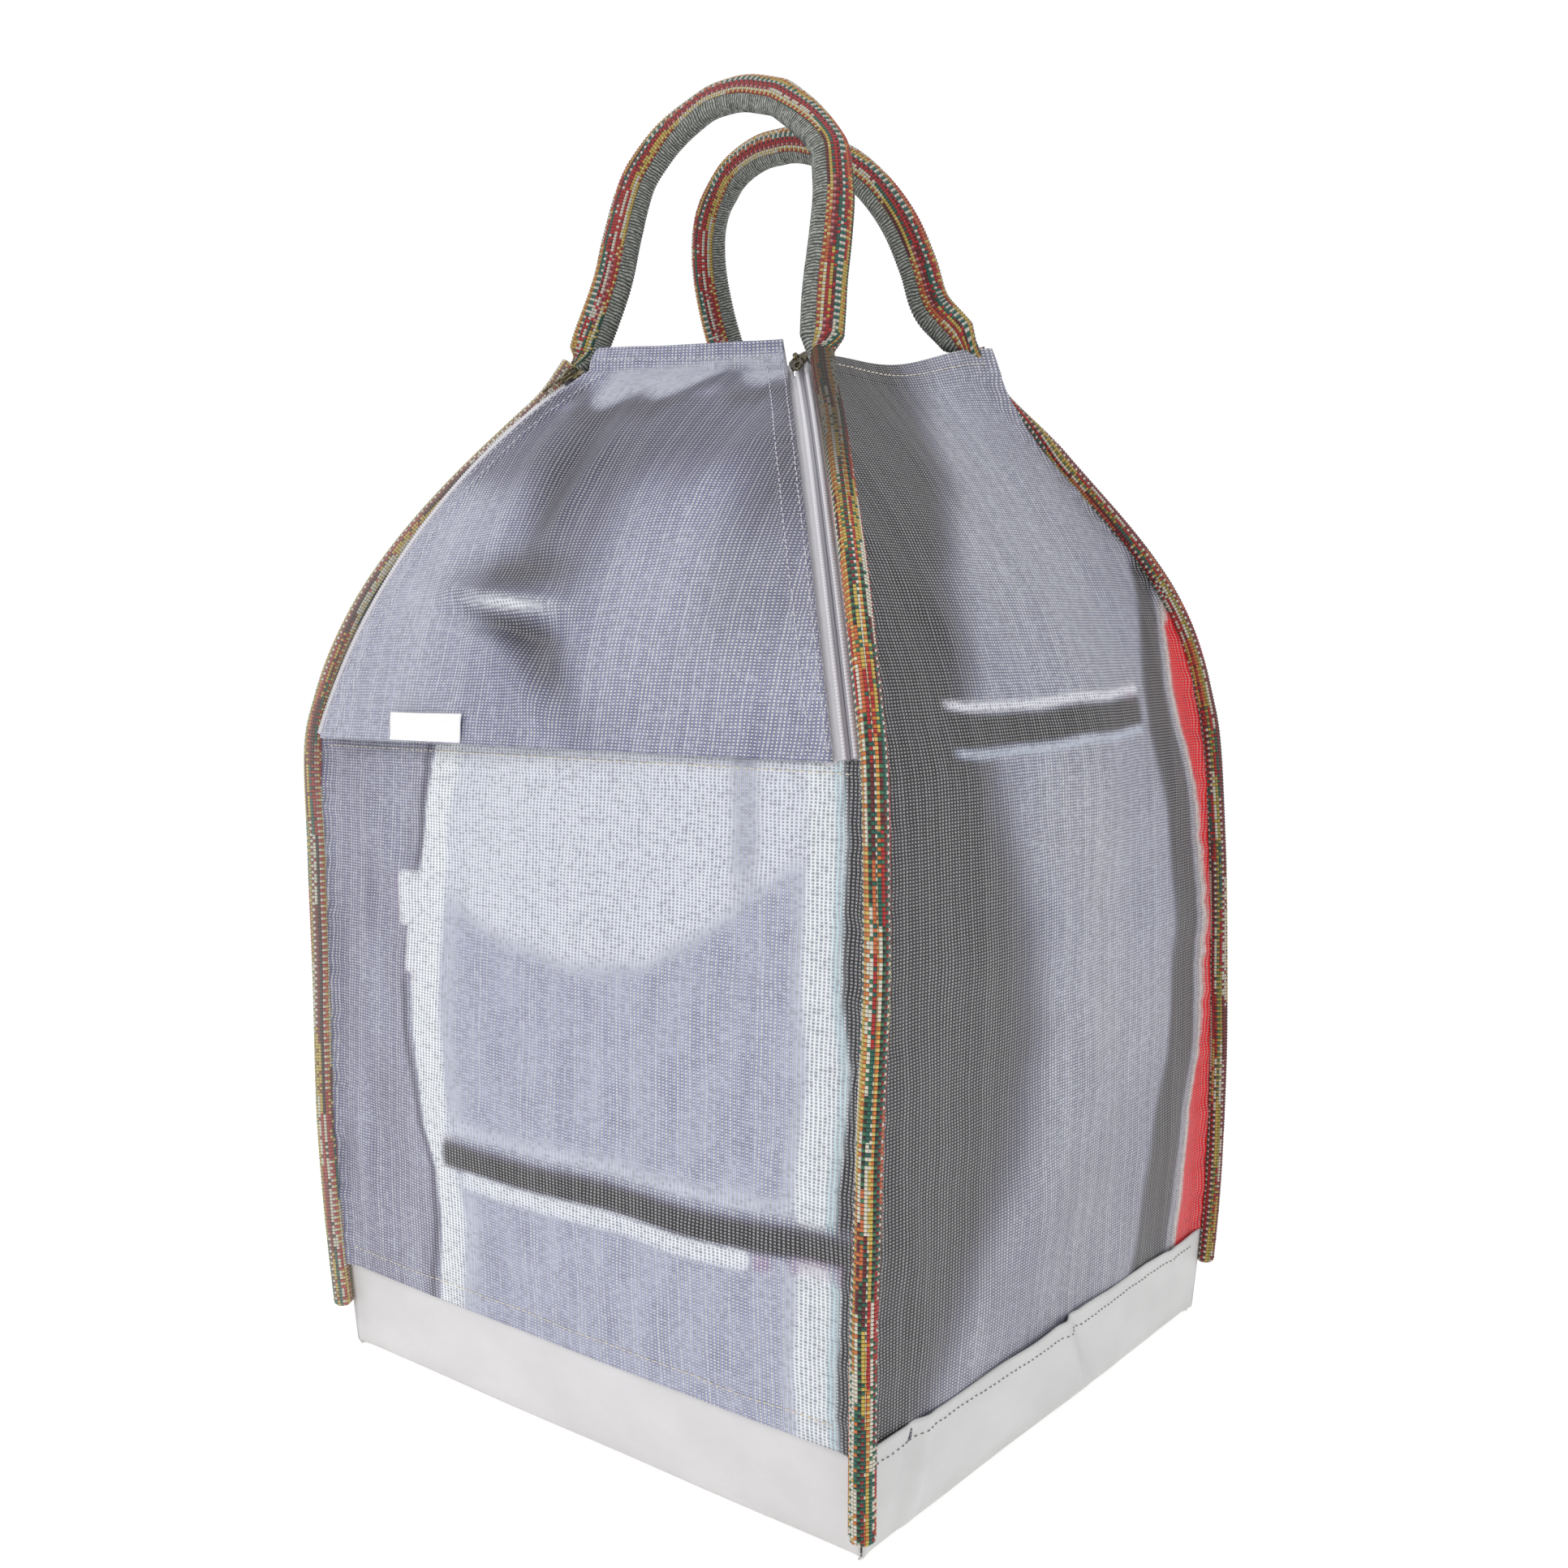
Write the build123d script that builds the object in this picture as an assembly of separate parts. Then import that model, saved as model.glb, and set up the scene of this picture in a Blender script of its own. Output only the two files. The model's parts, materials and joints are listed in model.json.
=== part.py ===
from build123d import *
import math
import os
from types import SimpleNamespace

# Zipped mesh carrier bag: PVC base and skirt, mesh panels drawn in at the shoulders, bound
# corners, a front flap between two curved zips, and two loop handles.
# Millimetres, +Z up, +X to the right along the front, front face towards -Y.
# Origin: centre of the base on the floor.

# ---------------------------------------------------------------- driving dimensions
base_w = 300.0           # base, corner to corner along the front
base_d = 284.0           # base, front to back
floor_t = 1.2
floor_trim_x = 0.6       # the floor is this much smaller than the base
floor_trim_y = 2.0
skirt_h = 42.0           # visible height of the PVC skirt
skirt_lap = 8.0          # overlap of mesh and PVC at the skirt seam
seam_z = 298.0           # height of the front flap's seam
mesh_t = 1.0             # mesh cloth, hems included
pvc_t = 1.0              # PVC sheet

# Inner faces of the cloth, outwards from the corner-to-corner surface
pvc_over, pvc_under = 0.3, -0.8
mesh_over, mesh_under = 0.4, -0.9

# Corner lines below the seam: height, left x, right x, front y, back y
LOWER = [
    (0.0, -base_w / 2, base_w / 2, -base_d / 2, base_d / 2),
    (skirt_h, -150.9, 152.3, -145.6, 146.6),
    (110.0, -155.3, 155.2, -147.3, 146.8),
    (180.0, -159.1, 156.4, -144.9, 143.4),
    (240.0, -164.2, 156.2, -142.0, 139.2),
    (297.0, -167.2, 153.2, -139.1, 135.6),
]
MID_HEIGHTS = [row[0] for row in LOWER[2:5]]

# Corner lines over the shoulders, seam to top: x, y, z.  F/B is front/back, L/R left/right.
UPPER = {
    "FL": [
        (-167.2, -139.1, 297.0), (-164.1, -136.2, 313.5), (-159.9, -132.5, 329.9),
        (-154.5, -127.5, 346.2), (-148.1, -120.9, 362.7), (-140.6, -112.4, 379.4),
        (-132.0, -102.2, 396.2), (-122.5, -90.7, 412.8), (-112.5, -78.4, 428.8),
        (-102.1, -65.9, 444.2), (-91.9, -53.9, 459.5), (-84.6, -45.2, 475.5),
    ],
    "FR": [
        (153.2, -139.1, 297.0), (149.5, -136.2, 313.3), (144.9, -132.5, 329.5),
        (139.2, -127.6, 345.4), (132.1, -121.0, 361.4), (123.3, -112.5, 377.5),
        (113.2, -102.2, 393.7), (101.9, -90.6, 409.6), (90.1, -78.1, 424.8),
        (78.5, -65.6, 438.9), (67.7, -53.9, 451.6), (58.4, -43.6, 462.9),
    ],
    "BR": [
        (153.2, 135.6, 297.0), (149.7, 134.8, 313.6), (145.6, 133.7, 330.5),
        (140.1, 131.6, 347.2), (132.7, 127.7, 363.9), (123.4, 121.5, 380.5),
        (112.6, 113.8, 397.1), (101.0, 105.2, 413.5), (89.2, 96.6, 430.0),
        (77.9, 88.7, 446.3), (68.4, 82.3, 464.0), (61.5, 79.0, 483.0),
    ],
    "BL": [
        (-167.2, 135.6, 297.0), (-164.4, 134.9, 313.6), (-160.8, 133.9, 330.4),
        (-155.8, 131.9, 347.0), (-149.7, 128.1, 363.6), (-142.4, 122.0, 380.2),
        (-134.4, 114.4, 396.8), (-125.8, 105.9, 413.2), (-117.0, 97.5, 429.4),
        (-108.2, 89.8, 445.8), (-99.8, 83.6, 462.2), (-92.0, 79.5, 479.0),
    ],
}

# Corners at the two ends of each side, anticlockwise from above
SIDES = {"front": ("FL", "FR"), "right": ("FR", "BR"), "back": ("BR", "BL"), "left": ("BL", "FL")}


def corner(name, z):
    """Corner line of the panels at height z, below the seam."""
    for low, high in zip(LOWER[:-1], LOWER[1:]):
        if low[0] <= z <= high[0]:
            part = (z - low[0]) / (high[0] - low[0])
            row = [low[i] + part * (high[i] - low[i]) for i in range(5)]
            return Vector(row[1 if name[1] == "L" else 2], row[3 if name[0] == "F" else 4], z)
    raise ValueError(z)


def strip_outline(start, end, inner, outer, bulge, inset=0.0, normal=None):
    """Closed planar outline of a strip of cloth from start to end, inner to outer face."""
    along = (end - start).normalized()
    if normal is None:
        normal = along.cross(Vector(0, 0, 1)).normalized()
    start, end = start + along * inset, end - along * inset
    middle = (start + end) * 0.5 + normal * bulge
    to_in, to_out = normal * inner, normal * outer
    return Wire([
        ThreePointArc(start + to_out, middle + to_out, end + to_out).edge(),
        Line(end + to_out, end + to_in).edge(),
        ThreePointArc(end + to_in, middle + to_in, start + to_in).edge(),
        Line(start + to_in, start + to_out).edge(),
    ])


# ---------------------------------------------------------------- PVC base
SKIRT_BULGES = [0.6, 1.1, 1.6, 1.8]     # floor upwards


def base_floor():
    return Box(base_w - floor_trim_x, base_d - floor_trim_y, floor_t,
               align=(Align.CENTER, Align.CENTER, Align.MIN)).solid()


def skirt(side):
    """PVC over the mesh at left and right, under it and lapped at front and back."""
    first, second = SIDES[side]
    heights = [0.0, skirt_h / 2, skirt_h]
    inner = pvc_over
    if side in ("front", "back"):
        heights.append(skirt_h + skirt_lap)
        inner = pvc_under
    return Solid.make_loft([
        strip_outline(corner(first, z), corner(second, z), inner, inner + pvc_t, bulge)
        for z, bulge in zip(heights, SKIRT_BULGES)
    ], ruled=True)


# ---------------------------------------------------------------- mesh panels
panel_inset = 2.4        # panel edge to corner line
back_inset = 0.8         # the same for the back panel
front_top_gap = 1.3      # front lower panel's top edge, below the seam
FRONT_BULGES = [1.6, 3.0, 3.4, 2.0, 0.8]
# Upwards from MID_HEIGHTS, then over the shoulder stations
PANEL_BULGES = [3.0, 3.4, 3.0, 2.0, 1.0, 0.6, -1.0, -2.0, -3.0, -3.6]
SHOULDER_STATIONS = (0, 2, 4, 6, 8, 10, 11)     # rows of UPPER


def front_lower_panel():
    heights = [skirt_h, *MID_HEIGHTS, seam_z - front_top_gap]
    return Solid.make_loft([
        strip_outline(corner("FL", z), corner("FR", z), mesh_over, mesh_over + mesh_t, bulge,
                      inset=panel_inset)
        for z, bulge in zip(heights, FRONT_BULGES)
    ])


def full_panel(side):
    """Right, back or left panel, from the skirt to the top."""
    first, second = SIDES[side]
    if side == "back":
        inner, low, low_bulge, inset = mesh_over, skirt_h, 1.6, back_inset
    else:
        inner, low, low_bulge, inset = mesh_under, skirt_h - skirt_lap, 1.4, panel_inset
    rows = [(corner(first, z), corner(second, z)) for z in (low, *MID_HEIGHTS)]
    rows += [(Vector(*UPPER[first][i]), Vector(*UPPER[second][i])) for i in SHOULDER_STATIONS]
    return Solid.make_loft([
        strip_outline(start, end, inner, inner + mesh_t, bulge, inset=inset)
        for (start, end), bulge in zip(rows, [low_bulge] + PANEL_BULGES)
    ])


# ---------------------------------------------------------------- corner bindings
bind_off = 6.4           # centre of the folded binding, from the panels' corner
bind_half_t = 4.6        # half thickness, away from the bag
bind_half_w = 4.3
foot_up = 7.6            # centre of a handle's foot, above the top of the corner line

# foot_in: handle's foot, inwards of the binding's centre
CORNERS = {
    "FL": dict(piece="front_left_binding", outward=(-1, -1, 0), bottom=20.0, foot_in=9.4),
    "FR": dict(piece="front_right_binding", outward=(1, -1, 0), bottom=10.6, foot_in=2.8),
    "BR": dict(piece="rear_right_binding", outward=(1, 1, 0), bottom=24.0, foot_in=18.4),
    "BL": dict(piece="rear_left_binding", outward=(-1, 1, 0), bottom=22.0, foot_in=2.8),
}


def outward(name):
    return Vector(*CORNERS[name]["outward"]).normalized()


def binding(name):
    away = outward(name)
    points = [corner(name, z) for z in (CORNERS[name]["bottom"], skirt_h, *MID_HEIGHTS)]
    points += [Vector(*point) for point in UPPER[name]]
    wires = []
    for point in points:
        plane = Plane(origin=point + away * bind_off, x_dir=away, z_dir=Vector(0, 0, 1))
        wires.append(Wire([Edge.make_ellipse(bind_half_t, bind_half_w, plane=plane)]))
    return Solid.make_loft(wires)


def handle_foot(name):
    top = Vector(*UPPER[name][-1])
    return top + outward(name) * (bind_off - CORNERS[name]["foot_in"]) + Vector(0, 0, foot_up)


# ---------------------------------------------------------------- zips
tape_t = 0.6
tape_in = 8.0            # far edge of the inner tape, from the chain's centre line
tape_near = 0.9          # near edge of both tapes, likewise
chain_gap = 0.5          # half gap between the two coils (stands in for the meshed coil)
coil_w = 3.4             # coil reaches this far from the centre line
coil_base = 0.35         # underside and top of the coil, from the middle of the tape
coil_h = 2.2
zip_start = 0.3          # cloth and outer coil start, below the chain's top end
tape_end = 1.2           # outer tape ends, above the chain's bottom end
slider_top = 6.5         # slider's centre, below the chain's top end
slider_len = 11.5
slider_w = 9.4
slider_gap = 0.7         # slider's end to inner coil
low_rest = 9.5           # lowest slider position, above the chain's bottom end
tape_stations = 8        # intervals along the outer tape
corner_shift = Vector(0.6, 0.6, 0)     # moves the left tape's edge off the corner line

# Each chain's centre line is an arc of a circle.  A positive turn about the axis runs down;
# top points from the centre to the chain's top end; arc and tilt of the tape are in degrees.
# coil_end: outer coil's end above the chain's bottom end.
# fold, fold_end: bend in the outer tape from the centre line, and at its last station.
ZIPS = {
    "left": SimpleNamespace(
        centre=Vector(-11.02, 129.02, 203.43), axis=Vector(0.8435, -0.5188, -0.1393),
        radius=327.66, sign=1, tilt=0.0, arc=38.4, top=Vector(-0.2027, -0.5476, 0.8118),
        corner="FL", coil_end=6.5, fold=4.9, fold_end=3.4),
    "right": SimpleNamespace(
        centre=Vector(-13.49, 75.12, 211.26), axis=Vector(0.7804, 0.6173, 0.0995),
        radius=280.9, sign=-1, tilt=-29.0, arc=46.6, top=Vector(0.1986, -0.3956, 0.8967),
        corner="FR", coil_end=tape_end, fold=5.2, fold_end=5.2),
}
for chain in ZIPS.values():
    chain.length = math.radians(chain.arc) * chain.radius


def zip_frame(chain, s):
    """Frame on the chain's centre line, s mm below its top; width points towards the flap."""
    turn = s / chain.radius
    axis = chain.axis.normalized()
    start = (chain.top - axis * chain.top.dot(axis)).normalized()
    radial = start * math.cos(turn) + axis.cross(start) * math.sin(turn)
    tilt = math.radians(chain.tilt)
    return SimpleNamespace(
        point=chain.centre + radial * chain.radius,
        width=axis * (chain.sign * math.cos(tilt)) + radial * math.sin(tilt),
        out=radial * math.cos(tilt) - axis * (chain.sign * math.sin(tilt)),
        up=axis.cross(radial) * -1,
        radial=radial,
    )


def zip_strip(chain, s_span, width_span, out_span):
    """Strip of constant rectangular section that follows the chain."""
    (s0, s1), (w0, w1), (o0, o1) = s_span, width_span, out_span
    at = zip_frame(chain, s0)
    corners = [at.point + at.width * w + at.out * o
               for w, o in ((w0, o0), (w1, o0), (w1, o1), (w0, o1))]
    return revolve(Face(Wire.make_polygon(corners, close=True)),
                   axis=Axis(chain.centre, chain.axis),
                   revolution_arc=math.degrees((s1 - s0) / chain.radius)).solid()


def corner_across(chain, s):
    """Panels' corner line in the cross plane of the chain at s."""
    axis = chain.axis.normalized()
    start = zip_frame(chain, 0.0).radial
    radial = zip_frame(chain, s).radial
    turn = s / chain.radius
    rows = []            # turn, place along the axis, distance from the axis
    for point in UPPER[chain.corner]:
        arm = Vector(*point) - chain.centre
        axial = arm.dot(axis)
        spoke = arm - axis * axial
        angle = math.atan2(axis.dot(start.cross(spoke)), start.dot(spoke))
        rows.append((angle, axial, spoke.length))
    rows.sort()
    for low, high in zip(rows[:-1], rows[1:]):
        if turn <= high[0] or high is rows[-1]:
            part = (turn - low[0]) / (high[0] - low[0])
            axial, reach = (low[i] + part * (high[i] - low[i]) for i in (1, 2))
            return chain.centre + axis * axial + radial * reach


def outer_tape(chain):
    """Tape from the chain to the bag's corner, bent once on the way."""
    wires = []
    for i in range(tape_stations + 1):
        s = zip_start + (chain.length - zip_start - tape_end) * i / tape_stations
        at = zip_frame(chain, s)
        root = corner_across(chain, s)
        if chain.corner == "FL":
            root = root + corner_shift - at.up * corner_shift.dot(at.up)
        near = at.point - at.width * tape_near
        bend = at.point - at.width * (chain.fold if i < tape_stations else chain.fold_end)
        half = at.out * (tape_t / 2)
        wires.append(Wire.make_polygon(
            [near + half, bend + half, root + half, root - half, bend - half, near - half],
            close=True))
    return Solid.make_loft(wires)


def zip_parts(chain):
    """Coils and tapes of one zip; the inner ones run between the slider's end positions."""
    clear = slider_len / 2 + slider_gap
    outer_run = (zip_start, chain.length - chain.coil_end)
    inner_run = (slider_top + clear, chain.length - low_rest - clear)
    coil_out = (coil_base, coil_h)
    return {
        "outer_coil": zip_strip(chain, outer_run, (-coil_w, -chain_gap), coil_out),
        "inner_coil": zip_strip(chain, inner_run, (chain_gap, coil_w), coil_out),
        "inner_tape": zip_strip(chain, inner_run, (tape_near, tape_in),
                                (-tape_t / 2, tape_t / 2)),
        "outer_tape": outer_tape(chain),
    }


# ---------------------------------------------------------------- front flap and label
flap_t = 1.2
flap_gap = 0.95          # underside of the flap, above the middle of the zip tape
flap_edge = 7.0          # flap's edge, from the chain's centre line
flap_seam_gap = 0.9      # flap's lower edge, above the seam
flap_rows = 16           # intervals from seam to top
min_bulge = 0.2          # keeps the arcs from going straight
hem_left = Vector(5.4, 4.3, 11.0)      # hem above the zips, from the flap's top row
hem_right = Vector(-1.6, -1.3, 13.0)
label_x = (-106.0, -58.0)
label_heights = (0.006, 0.035, 0.064)  # fractions of the flap, seam to top
label_t = 0.5
label_lift = 0.35        # underside of the label, above the flap


def flap_edge_point(chain, s):
    at = zip_frame(chain, s)
    return at.point + at.width * flap_edge + at.out * flap_gap


def s_at_height(chain, z):
    """Place along the chain where the flap's edge is at height z, by bisection."""
    low, high = 0.0, chain.length + 5.0
    for _ in range(60):
        middle = (low + high) / 2
        if flap_edge_point(chain, middle).Z > z:
            low = middle
        else:
            high = middle
    return low


flap_low = {side: s_at_height(chain, seam_z + flap_seam_gap) for side, chain in ZIPS.items()}


def flap_row(f):
    """Left end, right end, outward normal and bulge of the flap at f (0 seam, 1 top)."""
    s_left, s_right = flap_low["left"] * (1 - f), flap_low["right"] * (1 - f)
    left = flap_edge_point(ZIPS["left"], s_left)
    right = flap_edge_point(ZIPS["right"], s_right)
    up = zip_frame(ZIPS["left"], s_left).up + zip_frame(ZIPS["right"], s_right).up
    bulge = 0.8 + 3.0 * math.sin(math.pi * f) ** 2 - 1.2 * f * f
    return left, right, (right - left).cross(up).normalized(), bulge


def front_flap():
    rows = [flap_row(i / flap_rows) for i in range(flap_rows + 1)]
    left, right, normal, bulge = rows[-1]
    rows.append((left + hem_left, right + hem_right, normal, bulge))
    return Solid.make_loft([
        strip_outline(left, right, 0.0, flap_t, bulge if abs(bulge) > min_bulge else min_bulge,
                      normal=normal)
        for left, right, normal, bulge in rows
    ])


def label():
    """Blank label at the flap's foot, following its bulge."""
    wires = []
    for f in label_heights:
        left, right, normal, bulge = flap_row(f)
        ends = []
        for x in label_x:
            g = (x - left.X) / (right.X - left.X)
            lift = 4 * bulge * g * (1 - g) + flap_t + label_lift
            ends.append(left + (right - left) * g + normal * lift)
        start, end = ends
        thick = normal * label_t
        wires.append(Wire.make_polygon([start + thick, end + thick, end, start], close=True))
    return Solid.make_loft(wires)


# ---------------------------------------------------------------- sliders and pulls
# Local frame: x across the chain, y up along it, z outwards.  Spans are (from, to).
half_len, half_w = slider_len / 2, slider_w / 2
lower_plate_z = (-2.1, -0.95)
upper_plate_z = (2.85, 4.0)
wall_x = (3.85, half_w - 0.15)         # mirrored to both sides
wall_y = (4.4 - half_len, half_len - 0.4)
upper_wall_z = (0.75, 2.9)
lower_wall_z = (-1.0, -0.7)
pivot_z = 5.0                          # axis of the pull's bar
arm_x = (1.5, 2.4)                     # mirrored to both sides
pull_end_y = -14.0                     # centre of the pull's round end
pull_half_w = 2.7


def span_box(x_span, y_span, z_span):
    spans = (x_span, y_span, z_span)
    return Pos(*[(a + b) / 2 for a, b in spans]) * Box(*[abs(b - a) for a, b in spans])


def both_ways(half):
    return (-half, half)


def slider_body():
    across, along = both_ways(half_w), both_ways(half_len)
    body = span_box(across, along, lower_plate_z) + span_box(across, along, upper_plate_z)
    # the foot of a slider is narrower than its shoulders
    for sign in (-1, 1):
        body -= Pos(sign * (half_w + 0.9), -half_len, 0) * Rot(0, 0, sign * -14) * Box(2.2, 9, 14)
    for sign in (-1, 1):
        wall = [sign * x for x in wall_x]
        body += span_box(wall, wall_y, upper_wall_z)
        body += span_box(wall, wall_y, lower_wall_z)
    # divider between the two coils
    body += span_box(both_ways(0.3), (half_len - 4.0, half_len - 0.4), (-1.2, 3.2))
    arch = span_box(both_ways(0.8), both_ways(3.2), (3.9, 6.5))
    arch -= span_box(both_ways(2), both_ways(1.9), (4.15, 5.8))
    return body + arch


def slider_pull():
    """Bar through the arch, two arms and a slotted plate with a round end."""
    pull = Pos(0, 0, pivot_z) * Rot(0, 90, 0) * Cylinder(0.55, 4.6)
    for sign in (-1, 1):
        pull += span_box([sign * x for x in arm_x], (-5.2, 0.0), (4.5, 5.5))
    plate = span_box(both_ways(pull_half_w), (pull_end_y, -4.3), (4.45, 5.55))
    plate += Pos(0, pull_end_y, pivot_z) * Cylinder(pull_half_w, 1.1)
    plate -= span_box(both_ways(1.1), (-13.0, -7.0), (4, 6))
    return pull + plate


def slider_plane(chain):
    at = zip_frame(chain, slider_top)
    return Plane(origin=at.point, x_dir=at.width * chain.sign, z_dir=at.out)


# ---------------------------------------------------------------- handles
handle_t = 5.5           # half thickness, square to the loop's plane
HANDLE_HALF_W = (8.0, 8.0, 8.2, 8.4)   # half width in the loop's plane, from each end inwards
handle_tail = 8.0        # handle's run below its foot, before trimming
foot_run = 0.08          # station just above the foot, as a part of the first run
cut_ratio = -0.15        # webbing's lower face, as a part of the half width
lining_gap = 0.55        # webbing to lining
rim_steps = 6

# Centre lines, left foot to right foot: x, y, z
FRONT_LINE = [
    (-74.2, -32.9, 513.8), (-72.7, -27.7, 537.6), (-69.4, -23.2, 560.0), (-56.6, -17.4, 580.0),
    (-35.5, -14.2, 592.0), (-13.0, -13.3, 595.3), (10.5, -15.4, 588.0), (31.5, -19.2, 574.0),
    (46.8, -23.8, 557.0), (54.2, -28.8, 538.0), (57.0, -34.8, 515.9), (58.2, -40.7, 494.1),
]
REAR_LINE = [
    (-98.5, 74.5, 503.3), (-100.0, 67.5, 523.5), (-98.5, 60.4, 543.5), (-91.0, 53.4, 563.5),
    (-74.0, 47.8, 579.6), (-54.0, 45.0, 587.4), (-33.5, 44.4, 589.4), (-14.0, 45.8, 585.5),
    (5.0, 49.6, 575.5), (20.5, 54.4, 561.5), (32.0, 60.2, 544.5), (38.7, 65.5, 524.4),
    (43.0, 70.6, 504.0),
]
plane_station = 6        # this station and the feet set the loop's plane


def handle(line, left_foot, right_foot):
    """Webbing (outside of the loop) and lining (inside) of one handle, as two solids."""
    span = right_foot - left_foot
    along = span.normalized()
    rise = Vector(*line[plane_station]) - left_foot
    up = (rise - along * rise.dot(along)).normalized()
    normal = along.cross(up)

    def flatten(point):
        arm = Vector(*point) - left_foot
        return left_foot + along * arm.dot(along) + up * arm.dot(up)

    left_run = flatten(line[0]) - left_foot
    right_run = flatten(line[-1]) - right_foot
    points = [left_foot - left_run.normalized() * handle_tail, left_foot + left_run * foot_run]
    points += [flatten(point) for point in line]
    points += [right_foot + right_run * foot_run,
               right_foot - right_run.normalized() * handle_tail]
    centre = left_foot + along * (span.length / 2) + up * 60.0
    webbing, lining = [], []
    last = len(points) - 1
    for i, point in enumerate(points):
        tangent = (points[min(i + 1, last)] - points[max(i - 1, 0)]).normalized()
        out = tangent.cross(normal).normalized()
        if out.dot(point - centre) < 0:
            out = out * -1
        half_width = HANDLE_HALF_W[min(i, last - i, len(HANDLE_HALF_W) - 1)]

        def rim_wire(start, end):
            """Part of the elliptical rim between two angles, closed by a chord."""
            rim = []
            for j in range(rim_steps + 1):
                angle = start + (end - start) * j / rim_steps
                rim.append(point + out * (half_width * math.sin(angle))
                           + normal * (handle_t * math.cos(angle)))
            return Wire([Edge.make_spline(rim), Edge.make_line(rim[-1], rim[0])])

        cut = math.asin(cut_ratio)
        webbing.append(rim_wire(cut, math.pi - cut))
        cut = math.asin(cut_ratio - lining_gap / half_width)
        lining.append(rim_wire(math.pi - cut, 2 * math.pi + cut))

    # Keep what stands above the line through the feet, with rounded ends about that line
    origin = left_foot + along * 75
    keep = Plane(origin=origin, x_dir=along, z_dir=up) * (Pos(0, 0, 100) * Box(500, 200, 200))
    keep += Plane(origin=origin, x_dir=up, z_dir=along) * Cylinder(handle_t, 500)
    return [(Solid.make_loft(wires) & keep).solid() for wires in (webbing, lining)]


# ---------------------------------------------------------------- assemble and write
parts = {
    "base_floor": base_floor(),
    "front_lower_panel": front_lower_panel(),
    "front_flap": front_flap(),
    "label": label(),
}
for side in SIDES:
    parts[f"{side}_skirt"] = skirt(side)
for side in ("right", "back", "left"):
    parts[f"{side}_panel"] = full_panel(side)
for name, data in CORNERS.items():
    parts[data["piece"]] = binding(name)
for side, chain in ZIPS.items():
    for piece, solid in zip_parts(chain).items():
        parts[f"{side}_{piece}"] = solid
    parts[f"{side}_slider"] = (slider_plane(chain) * slider_body()).solid()
    parts[f"{side}_pull"] = (slider_plane(chain) * slider_pull()).solid()
for name, line, left, right in (("front", FRONT_LINE, "FL", "FR"), ("rear", REAR_LINE, "BL", "BR")):
    webbing, lining = handle(line, handle_foot(left), handle_foot(right))
    parts[f"{name}_handle_webbing"] = webbing
    parts[f"{name}_handle_lining"] = lining

os.makedirs("parts", exist_ok=True)
for name, solid in parts.items():
    export_step(solid, f"parts/{name}.step")
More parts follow.
